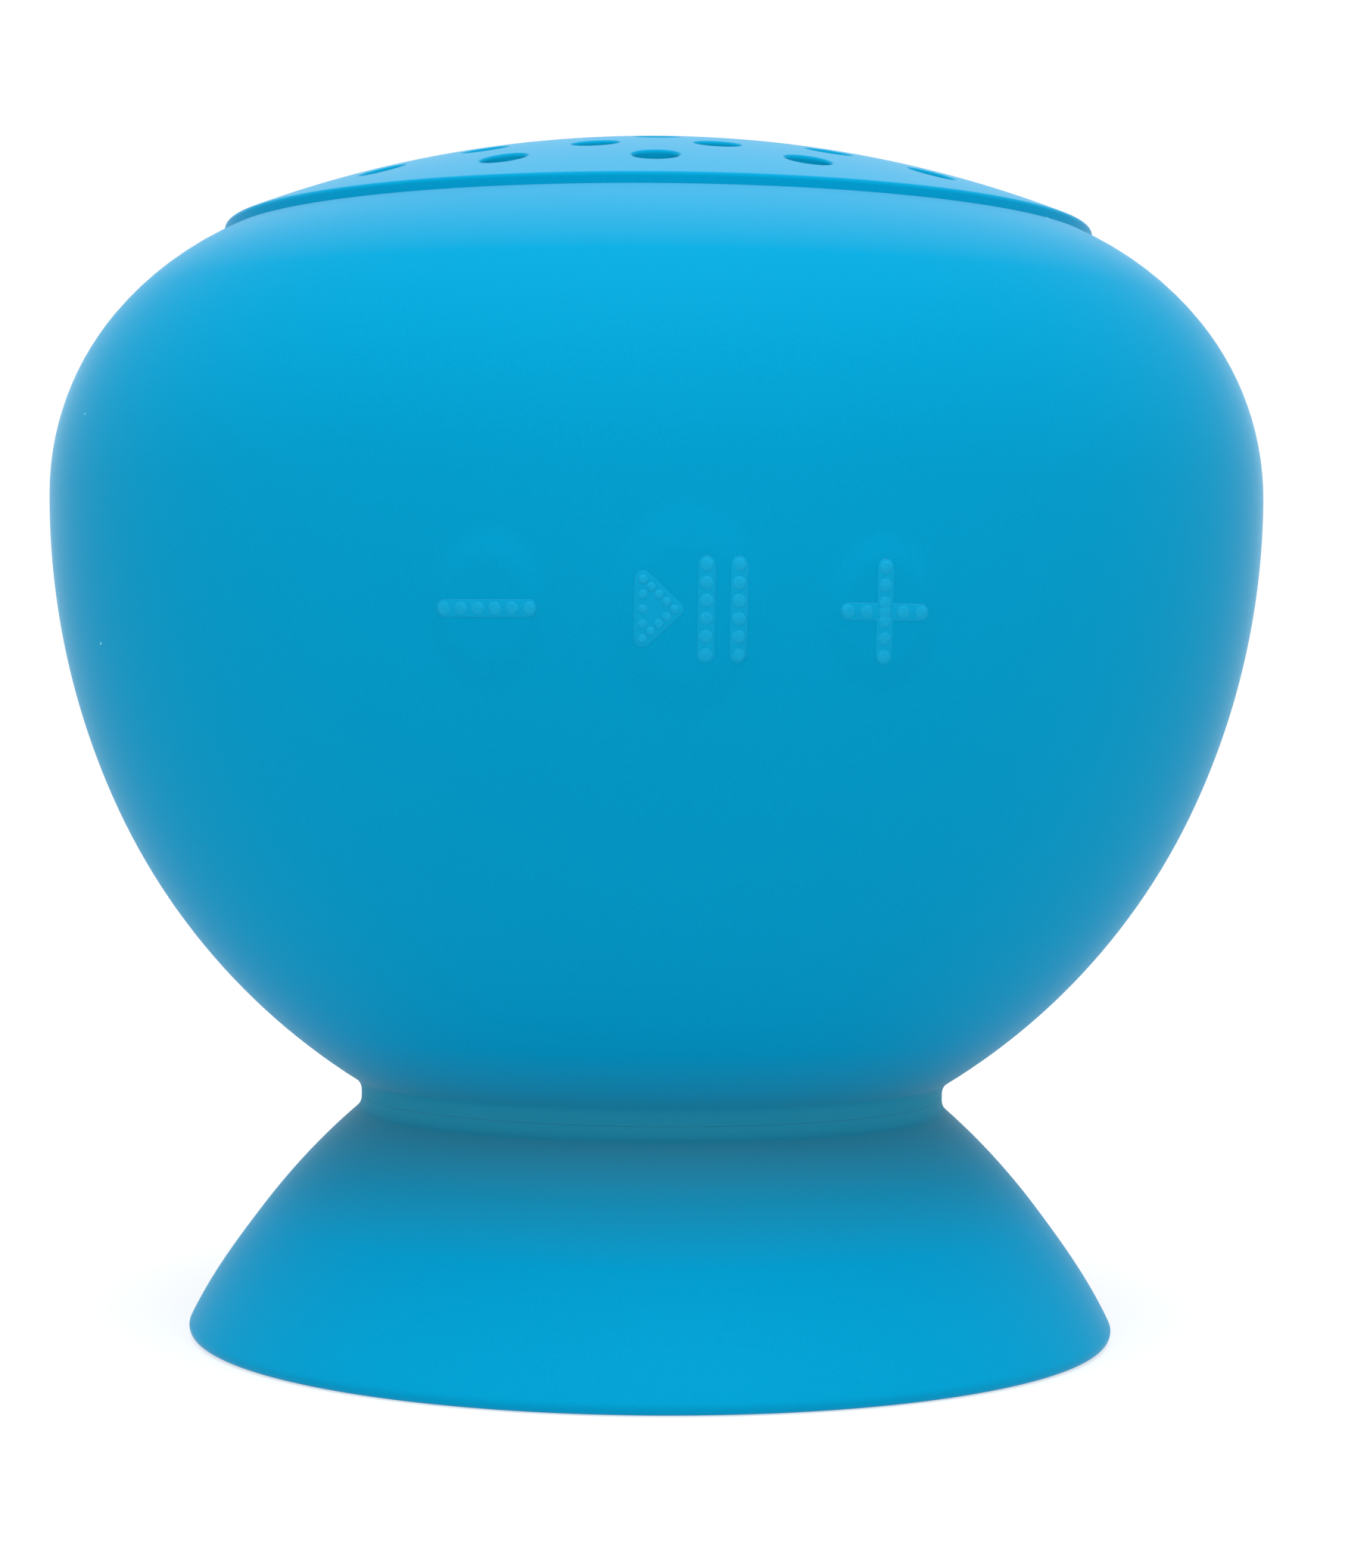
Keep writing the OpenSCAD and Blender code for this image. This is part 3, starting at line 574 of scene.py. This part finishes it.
# The dome keeps its own true normals, so that the cuts leave no marks in its shading.
dome_slack = 0.003 * mm
dome_centre = Vector((0, 0, dome_c.y))
corner_normals = [Vector(c.vector) for c in skin_disc.data.corner_normals]
for face in skin_disc.data.polygons:
    for loop in face.loop_indices:
        at = skin_disc.data.vertices[skin_disc.data.loops[loop].vertex_index].co
        true_normal = (at - dome_centre).normalized()
        on_dome = abs((at - dome_centre).length - dome_r) < dome_slack
        if on_dome and face.normal.dot(true_normal) > 0.95:
            corner_normals[loop] = true_normal
skin_disc.data.normals_split_custom_set(corner_normals)


# ---------------------------------------------------------------- port flap
# The flap over the charging socket is a piece of the same skin, cut with round corners. It
# hangs on a thin strip of silicone along its lower edge, which works as a hinge.

port_w = 24 * mm
port_low = 32.6 * mm
port_high = port_low + 9.5 * mm
port_corner = 2 * mm
port_rim = 0.2 * mm
flap_low, flap_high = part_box("port_flap")
flap_corner = 1.7 * mm
flap_edge = 0.25 * mm
flap_grid = 0.5 * mm


def corner_places(left, right, low, high, corner):
    """Centres of the round corners of an upright oblong, anticlockwise."""
    return [
        Vector((right - corner, high - corner)),
        Vector((left + corner, high - corner)),
        Vector((left + corner, low + corner)),
        Vector((right - corner, low + corner)),
    ]


def round_edge(corners, corner, edge, side):
    """Levels of a quarter-round edge that ends at the skin: side -1 draws it in, 1 flares it."""
    levels = []
    for i in range(6):
        turn = math.pi / 2 * i / 5
        spread = side * edge * (1 - math.cos(turn))
        levels.append((edge * (math.sin(turn) - 1), rounded_outline(corners, corner + spread)))
    return levels


def wrap(bm):
    """Bends a flat slab round the belly: its Y is the height over the skin."""
    for vert in bm.verts:
        x, over, z = vert.co
        vert.co.y = math.sqrt((belly_x(0, z) + over) ** 2 - x * x)
    face_out(bm)


flap_corners = corner_places(flap_low.x, flap_high.x, flap_low.z, flap_high.z, flap_corner)
flap_levels = [(-skin_wall, rounded_outline(flap_corners, flap_corner))]
flap_levels += round_edge(flap_corners, flap_corner, flap_edge, -1)
flap_bm = loft(flap_levels)
grid_cut(flap_bm, flap_low.x, flap_high.x, flap_grid, 0)
grid_cut(flap_bm, flap_low.z, flap_high.z, flap_grid, 2)
wrap(flap_bm)
port_flap = piece("port_flap_skin", flap_bm, sharp=50)
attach(port_flap, "flap")
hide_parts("port_flap")

# A plug on the flap's inside rests against the mouth of the charging socket.
plug_x = -5.5 * mm
plug_half = 3.8 * mm
plug_low, plug_high = 35.2 * mm, 38.2 * mm
plug_corner = 0.6 * mm
plug_edge = 0.2 * mm
plug_end, plug_root = 27.75 * mm, 30.4 * mm
plug_corners = corner_places(
    plug_x - plug_half, plug_x + plug_half, plug_low, plug_high, plug_corner
)
plug_line = rounded_outline(plug_corners, plug_corner)
plug_tip = rounded_outline(plug_corners, plug_corner - plug_edge)
plug_levels = [(plug_end, plug_tip), (plug_end + plug_edge, plug_line), (plug_root, plug_line)]
flap_plug = piece("flap_plug", loft(plug_levels))
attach(flap_plug, "flap")

# The opening is cut by a slab that reaches through the skin, with a flared mouth.
cutter_deep, cutter_proud = 4 * mm, 1 * mm
cutter_grid = 1 * mm
port_corners = corner_places(-port_w / 2, port_w / 2, port_low, port_high, port_corner)
port_levels = [(-cutter_deep, rounded_outline(port_corners, port_corner))]
port_levels += round_edge(port_corners, port_corner, port_rim, 1)
port_levels.append((cutter_proud, rounded_outline(port_corners, port_corner + port_rim)))
cutter_bm = loft(port_levels)
grid_cut(cutter_bm, -port_w / 2, port_w / 2, cutter_grid, 0)
grid_cut(cutter_bm, port_low, port_high, cutter_grid, 2)
wrap(cutter_bm)
carve(skin_body, piece("port cutter", cutter_bm))

# The hinge strip runs from the skin under the opening into the flap's lower edge.
strip_reach = 9 * mm
strip_low, strip_high = port_low - 0.35 * mm, port_low + 0.55 * mm
strip_corner = 0.2 * mm
strip_inside, strip_outside = -0.75 * mm, -0.25 * mm
strip_corners = corner_places(-strip_reach, strip_reach, strip_low, strip_high, strip_corner)
strip_line = rounded_outline(strip_corners, strip_corner)
strip_bm = loft([(strip_inside, strip_line), (strip_outside, strip_line)])
grid_cut(strip_bm, -strip_reach, strip_reach, 1 * mm, 0)
grid_cut(strip_bm, strip_low, strip_high, 0.1 * mm, 2)
wrap(strip_bm)
hinge_strip = piece("flap_hinge_strip", strip_bm)
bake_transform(hinge_strip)

for obj in (skin_body, skin_disc):
    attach(obj, "head")
    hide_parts("silicone_jacket")


# ---------------------------------------------------------------- foot
# The suction foot is moulded from the same silicone. Its hollow is polished in the mould, so
# that the rim seals on a tile, and it flattens when the speaker is pressed on.

foot_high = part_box("suction_cup")[1]
lip_r = foot_high.x
flank_r = 35.5 * mm
flank_c = Vector((-7.07, -14.68)) * mm
lip_round = 0.5 * mm
rim_in = 23.7 * mm
hollow_z = 8.2 * mm
hollow_flat = 8 * mm
foot_clear = 0.01 * mm
foot_neck_rise = math.sqrt((flank_r + neck_fillet) ** 2 - (neck_r + neck_fillet - flank_c.x) ** 2)
foot_neck_c = Vector((neck_r + neck_fillet, flank_c.y + foot_neck_rise))
flank_start = math.atan2(foot_neck_rise, foot_neck_c.x - flank_c.x)
lip_c = Vector((lip_r - lip_round, lip_round))
lip_turn = math.atan2(lip_c.y - flank_c.y, lip_c.x - flank_c.x)
swell_start = 0.5
lip_swell = (lip_c - flank_c).length + lip_round - flank_r
flank_steps = 40
flank_line = []
for i in range(1, flank_steps + 1):
    reach = flank_r + lip_swell * smooth(swell_start, 1.0, i / flank_steps)
    turn = flank_start + (lip_turn - flank_start) * i / flank_steps
    flank_line.append(flank_c + polar(reach, turn))
hollow_r = ((rim_in - hollow_flat) ** 2 + hollow_z**2) / (2 * hollow_z)
hollow_turn = math.asin((rim_in - hollow_flat) / hollow_r)
foot_outline = (
    [Vector((0, foot_high.z - foot_clear)), Vector((neck_r, foot_high.z - foot_clear))]
    + arc(foot_neck_c, neck_fillet, math.pi, math.pi + flank_start, 6)
    + flank_line
    + arc(lip_c, lip_round, lip_turn, -math.pi / 2, 10, 1)
    + arc(
        Vector((hollow_flat, hollow_z - hollow_r)),
        hollow_r,
        math.pi / 2 - hollow_turn,
        math.pi / 2,
        20,
    )
    + [Vector((0, hollow_z))]
)
foot = piece("suction_foot", spun(foot_outline, [(2 * math.pi, 256)], closed=False))
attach(foot, "cup")
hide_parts("suction_cup")
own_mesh(foot)


# ---------------------------------------------------------------- silicone
# Matt silicone rubber, pigmented right through and spark textured by the mould: a soft sheen at
# grazing angles, a faint grain of about 0.15 mm and the odd speck of dust. Painted shade darkens
# and greys the neck's groove under the head, and a painted pale highlight lies on what faces up.

cloud_wide = 14 * mm
grain_wide = 0.16 * mm
speck_gap, speck_r = 5 * mm, 0.08 * mm
# Painted shade: the heights in mm where the neck's groove is mixed towards a darker, greyer tone,
# and how strongly.
groove_low, groove_high = 6.5 * mm, 17 * mm
neck_shade_strengths = [(10.3, 0.72), (12.0, 1.0), (13.4, 1.0), (14.6, 0.5)]


def new_paint(name):
    """A new material, its node tree, its shader and the coordinates of its places."""
    paint = bpy.data.materials.new(name)
    paint.use_nodes = True
    tree = paint.node_tree
    coords = add(tree, "ShaderNodeTexCoord").outputs
    return paint, tree, tree.nodes["Principled BSDF"], coords


def silicone(name, tone, deep_tone, roughness, grain):
    """Silicone in two close tones, with the grain's relief given in metres."""
    paint, tree, shader, coords = new_paint(name)
    place = coords["Object"]
    cloud = add(
        tree, "ShaderNodeTexNoise", {"Scale": 1 / cloud_wide, "Detail": 3.0}, {"Vector": place}
    )
    fine = add(
        tree,
        "ShaderNodeTexNoise",
        {"Scale": 1 / grain_wide, "Detail": 2.0, "Roughness": 0.6},
        {"Vector": place},
    )
    mottle = add(
        tree,
        "ShaderNodeMath",
        {"operation": "MULTIPLY_ADD", 1: 0.35},
        {0: cloud.outputs["Fac"], 2: fine.outputs["Fac"]},
    )
    tones = add(
        tree,
        "ShaderNodeMapRange",
        {"From Min": 0.45, "From Max": 0.9},
        {"Value": mottle.outputs[0]},
    )
    body_tone = add(
        tree,
        "ShaderNodeMix",
        {"data_type": "RGBA", 6: linear(deep_tone), 7: linear(tone)},
        {0: tones.outputs[0]},
    )
    specks = add(
        tree,
        "ShaderNodeTexVoronoi",
        {"Scale": 1 / speck_gap, "Randomness": 1.0},
        {"Vector": place},
    )
    speck = add(
        tree,
        "ShaderNodeMath",
        {"operation": "LESS_THAN", 1: speck_r / speck_gap},
        {0: specks.outputs["Distance"]},
    )
    dusted = add(
        tree,
        "ShaderNodeMix",
        {"data_type": "RGBA", 7: linear("9FD8EC")},
        {0: speck.outputs[0], 6: body_tone.outputs[2]},
    )
    # Painted shade: below the head the tone goes darker and greyer towards the neck's groove, where
    # the head shades it.
    height = add(tree, "ShaderNodeSeparateXYZ", links={0: place}).outputs["Z"]
    rise = add(
        tree,
        "ShaderNodeMapRange",
        {"From Min": groove_low, "From Max": groove_high},
        {"Value": height},
    )
    groove = add(tree, "ShaderNodeValToRGB", links={"Fac": rise.outputs[0]})
    for stop, level in neck_shade_strengths:
        mark = groove.color_ramp.elements.new((stop * mm - groove_low) / (groove_high - groove_low))
        mark.color = (level, level, level, 1)
    groove.color_ramp.elements[-1].color = (0, 0, 0, 1)
    neck_shaded_tone = add(
        tree,
        "ShaderNodeMix",
        {"data_type": "RGBA", 7: linear("1F819D")},
        {0: groove.outputs[0], 6: dusted.outputs[2]},
    )
    # Painted highlight: faces that point up are mixed a little towards a pale tone, where the light
    # from above falls on them.
    upward = add(tree, "ShaderNodeSeparateXYZ", links={0: coords["Normal"]}).outputs["Z"]
    painted_top_sheen = add(
        tree,
        "ShaderNodeMapRange",
        {"From Min": 0.68, "From Max": 0.92, "To Min": 0.0, "To Max": 0.055},
        {"Value": upward},
    )
    top_sheen_tone = add(
        tree,
        "ShaderNodeMix",
        {"data_type": "RGBA", 7: linear("E8F2F6")},
        {0: painted_top_sheen.outputs[0], 6: neck_shaded_tone.outputs[2]},
    )
    tree.links.new(top_sheen_tone.outputs[2], shader.inputs["Base Color"])
    rough = add(
        tree,
        "ShaderNodeMapRange",
        {"From Min": 0.3, "From Max": 0.7, "To Min": roughness - 0.06, "To Max": roughness + 0.06},
        {"Value": fine.outputs["Fac"]},
    )
    tree.links.new(rough.outputs[0], shader.inputs["Roughness"])
    relief = add(
        tree,
        "ShaderNodeBump",
        {"Strength": 0.5, "Distance": grain},
        {"Height": fine.outputs["Fac"]},
    )
    tree.links.new(relief.outputs[0], shader.inputs["Normal"])
    shader.inputs["IOR"].default_value = 1.41
    shader.inputs["Specular IOR Level"].default_value = 0.02
    shader.inputs["Sheen Weight"].default_value = 0.3
    shader.inputs["Sheen Roughness"].default_value = 0.25
    shader.inputs["Sheen Tint"].default_value = linear("D8F2FF")
    return paint


def wear(obj, paint):
    """Puts one material on every slot of an object."""
    if not obj.material_slots:
        obj.data.materials.append(paint)
    for holder in obj.material_slots:
        holder.material = paint


skin_silicone = silicone("moulded silicone", "008AB4", "0087B0", 0.62, 0.012 * mm)
for obj in (skin_body, skin_disc, port_flap, hinge_strip, flap_plug, *patches.values()):
    wear(obj, skin_silicone)
# Painted light: the foot's silicone gets a slightly lighter tone than the body's, standing in for
# the brighter light on the foot's lower flank.
foot_silicone_painted_lighter = silicone("moulded silicone foot", "0090BC", "008DB8", 0.6, 0.010 * mm)
wear(foot, foot_silicone_painted_lighter)
bead_silicone = silicone("silicone beads", "1595BD", "0E90B9", 0.45, 0.004 * mm)
for obj in beads.values():
    wear(obj, bead_silicone)
ridge_silicone = silicone("silicone ridges", "0890BA", "058DB6", 0.58, 0.006 * mm)
for obj in marks.values():
    wear(obj, ridge_silicone)


# ---------------------------------------------------------------- inner pieces
# What is inside the shell shows through the sound holes and the port, or when the model is
# taken apart: the two shell halves, the driver, the boards, the battery and their fixings.


def grained(name, tones, grain, roughness, relief, ior=1.5, metallic=0.0):
    """A finish with two tones in a fine grain, and a gloss and relief that follow the grain."""
    paint, tree, shader, coords = new_paint(name)
    place = coords["Object"]
    speckle = add(
        tree,
        "ShaderNodeTexNoise",
        {"Scale": 1 / grain, "Detail": 3.0, "Roughness": 0.6},
        {"Vector": place},
    ).outputs["Fac"]
    give_finish(tree, shader, speckle, tones, roughness, relief)
    shader.inputs["IOR"].default_value = ior
    shader.inputs["Metallic"].default_value = metallic
    return paint


def give_finish(tree, shader, pattern, tones, roughness, relief):
    """Links a pattern of 0 to 1 to a shader's colour, roughness and relief."""
    tone = add(
        tree,
        "ShaderNodeMix",
        {"data_type": "RGBA", 6: linear(tones[0]), 7: linear(tones[1])},
        {0: pattern},
    )
    rough = add(
        tree,
        "ShaderNodeMapRange",
        {"To Min": roughness * 0.85, "To Max": min(1.0, roughness * 1.15)},
        {"Value": pattern},
    )
    bump = add(tree, "ShaderNodeBump", {"Strength": 0.6, "Distance": relief}, {"Height": pattern})
    tree.links.new(tone.outputs[2], shader.inputs["Base Color"])
    tree.links.new(rough.outputs[0], shader.inputs["Roughness"])
    tree.links.new(bump.outputs[0], shader.inputs["Normal"])


def woven(name, tones, thread, roughness):
    """A plain weave: two sets of threads that cross, each thread this far from the next."""
    paint, tree, shader, coords = new_paint(name)
    place = coords["Object"]
    threads = []
    for direction in ("X", "Y"):
        made = add(
            tree,
            "ShaderNodeTexWave",
            {"bands_direction": direction, "Scale": math.pi / (10 * thread)},
            {"Vector": place},
        )
        threads.append(made.outputs["Fac"])
    crossing = add(
        tree, "ShaderNodeMath", {"operation": "MAXIMUM"}, {0: threads[0], 1: threads[1]}
    )
    give_finish(tree, shader, crossing.outputs[0], tones, roughness, 0.3 * thread)
    return paint


def banded(name, tones, pitch, roughness, metallic, direction="Z", kind="BANDS"):
    """Fine lines at a real pitch, as on a wound coil, a flat cable or turned metal."""
    paint, tree, shader, coords = new_paint(name)
    place = coords["Object"]
    wave = add(
        tree,
        "ShaderNodeTexWave",
        {"wave_type": kind, "Scale": math.pi / (10 * pitch), "Distortion": 0.2},
        {"Vector": place},
    )
    if kind == "BANDS":
        wave.bands_direction = direction
    else:
        wave.rings_direction = direction
    give_finish(tree, shader, wave.outputs["Fac"], tones, roughness, 0.2 * pitch)
    shader.inputs["Metallic"].default_value = metallic
    return paint


def solder_mask(name, mask_tone, track_tone, pitch):
    """Green lacquer over copper tracks, which show as slightly lighter cells."""
    paint, tree, shader, coords = new_paint(name)
    place = coords["Object"]
    cells = add(
        tree,
        "ShaderNodeTexVoronoi",
        {"distance": "MANHATTAN", "feature": "F1", "Scale": 1 / pitch},
        {"Vector": place},
    )
    tracks = add(
        tree,
        "ShaderNodeMapRange",
        {"From Min": 0.42, "From Max": 0.5},
        {"Value": cells.outputs["Distance"]},
    )
    give_finish(tree, shader, tracks.outputs[0], (mask_tone, track_tone), 0.3, 0.02 * mm)
    return paint


# ABS from a spark-eroded mould: matt, blue right through, with a faint orange-peel grain.
shell_abs = grained("spark textured blue abs", ("0A7CA6", "0F86B0"), 0.3 * mm, 0.5, 0.01 * mm, 1.53)
# Black glass-filled nylon: dark, with a dull shine and pale fibre specks.
black_nylon = grained(
    "black moulded nylon", ("131315", "202124"), 0.25 * mm, 0.48, 0.008 * mm, 1.53
)
# White nylon housings, slightly warm and glossy.
white_nylon = grained("white moulded nylon", ("DDDAD0", "E9E7E0"), 0.5 * mm, 0.35, 0.005 * mm, 1.53)
# Acrylic light pipe, frosted by the mould: clear inside, with a milky skin.
frosted_acrylic = grained("frosted acrylic", ("E4ECEF", "F2F7F9"), 0.2 * mm, 0.35, 0.004 * mm, 1.49)
frosted_acrylic.node_tree.nodes["Principled BSDF"].inputs["Transmission Weight"].default_value = 0.8
# Butyl rubber seal and surround: near black, soft shine.
butyl_rubber = grained("butyl rubber", ("17171A", "222226"), 0.4 * mm, 0.55, 0.006 * mm, 1.52)
# Closed-cell foam: charcoal, fully matt, open cut cells of about 0.35 mm.
cell_foam = grained("closed cell foam", ("26272A", "3A3B3F"), 0.35 * mm, 0.95, 0.09 * mm, 1.4)
# Pressed paper pulp, dyed black: fibres about 0.2 mm across.
paper_pulp = grained("pressed paper pulp", ("1B1B1D", "2C2B2C"), 0.2 * mm, 0.85, 0.03 * mm, 1.45)
# Polyimide film: amber, smooth and glossy.
amber_film = grained("polyimide film", ("A5681C", "B67722"), 1.5 * mm, 0.25, 0.002 * mm, 1.66)
# Sintered ferrite: dark grey, with a stony sparkle.
ferrite = grained("sintered ferrite", ("2A2B2E", "3B3C40"), 0.15 * mm, 0.5, 0.01 * mm, 1.9)
# Epoxy chip bodies: black and matt, with a fine filler grain.
chip_epoxy = grained("moulded epoxy", ("17181A", "242527"), 0.12 * mm, 0.6, 0.004 * mm, 1.55)
# Laminated foil pouch: satin aluminium under film, gently rumpled.
foil_pouch = grained("laminated foil", ("B4B7BC", "C9CCD0"), 2.5 * mm, 0.32, 0.06 * mm, 1.5, 0.85)
# Zinc-plated pressed steel: grey, cloudy, half bright.
zinc_steel = grained(
    "zinc plated steel", ("A9ABAD", "C2C4C6"), 1.2 * mm, 0.34, 0.005 * mm, 1.5, 1.0
)
# Nickel-plated screws: brighter and smoother than the pressings.
nickel_screw = grained(
    "nickel plated steel", ("B8B6B0", "CFCDC7"), 0.6 * mm, 0.24, 0.003 * mm, 1.5, 1.0
)
# Tinned brass tags: pale gold where the tin is thin.
tinned_brass = grained("tinned brass", ("B99A5C", "D0C8B4"), 0.8 * mm, 0.3, 0.004 * mm, 1.5, 1.0)
# Drawn aluminium cans, with the faint lines of the die.
drawn_cans = banded("drawn aluminium", ("BFC1C4", "D5D7D9"), 0.12 * mm, 0.3, 1.0)
# Enamelled copper wire, wound turn on turn at 0.15 mm.
wound_copper = banded("wound enamelled copper", ("8E4A22", "C9763A"), 0.15 * mm, 0.35, 1.0)
# Flat cable: white film over conductors 0.5 mm apart.
flat_cable = banded("flat cable film", ("CFCDC4", "E3E1DA"), 0.5 * mm, 0.4, 0.0, "X")
# Water-repellent woven polyester over the sound holes, threads 0.25 mm apart.
mesh_cloth = woven("woven acoustic mesh", ("06597C", "0B7BA6"), 0.25 * mm, 0.8)
# Cotton stiffened with phenolic resin: amber, threads 0.4 mm apart.
spider_cloth = woven("resin treated cotton", ("8A6420", "C79A45"), 0.4 * mm, 0.75)
# Glass-epoxy boards under green solder mask.
board_mask = solder_mask("green solder mask", "0B5230", "14683F", 1.1 * mm)
# PVC insulation, red for the battery leads and black for the speaker leads.
red_pvc = grained("red wire insulation", ("A01818", "B42222"), 0.7 * mm, 0.35, 0.004 * mm, 1.53)
black_pvc = grained("black wire insulation", ("161616", "232323"), 0.7 * mm, 0.35, 0.004 * mm, 1.53)

finishes = [
    (shell_abs, "upper_shell lower_shell"),
    (black_nylon, "cup_stud switch_housing tact_switches power_slider"),
    (black_nylon, "plunger_minus plunger_play plunger_plus"),
    (white_nylon, "chip_antenna status_led ribbon_connector battery_connector"),
    (frosted_acrylic, "led_light_pipe"),
    (butyl_rubber, "shell_seal driver_surround"),
    (cell_foam, "driver_gasket battery_pad"),
    (paper_pulp, "driver_cone dust_cap"),
    (amber_film, "voice_coil_former"),
    (ferrite, "driver_magnet power_inductor"),
    (chip_epoxy, "radio_chip amplifier_chip usb_tongue"),
    (foil_pouch, "battery_cell"),
    (zinc_steel, "driver_basket driver_top_plate driver_yoke crystal usb_socket"),
    (nickel_screw, "stud_screw shell_screws driver_screws main_board_screws key_board_screws"),
    (tinned_brass, "driver_terminals"),
    (drawn_cans, "board_capacitors"),
    (wound_copper, "voice_coil"),
    (flat_cable, "key_ribbon"),
    (mesh_cloth, "acoustic_mesh"),
    (spider_cloth, "driver_spider"),
    (board_mask, "main_board key_board battery_board"),
    (red_pvc, "battery_wires"),
    (black_pvc, "speaker_wires"),
]
for paint, names in finishes:
    for name in names.split():
        wear(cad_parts[name], paint)
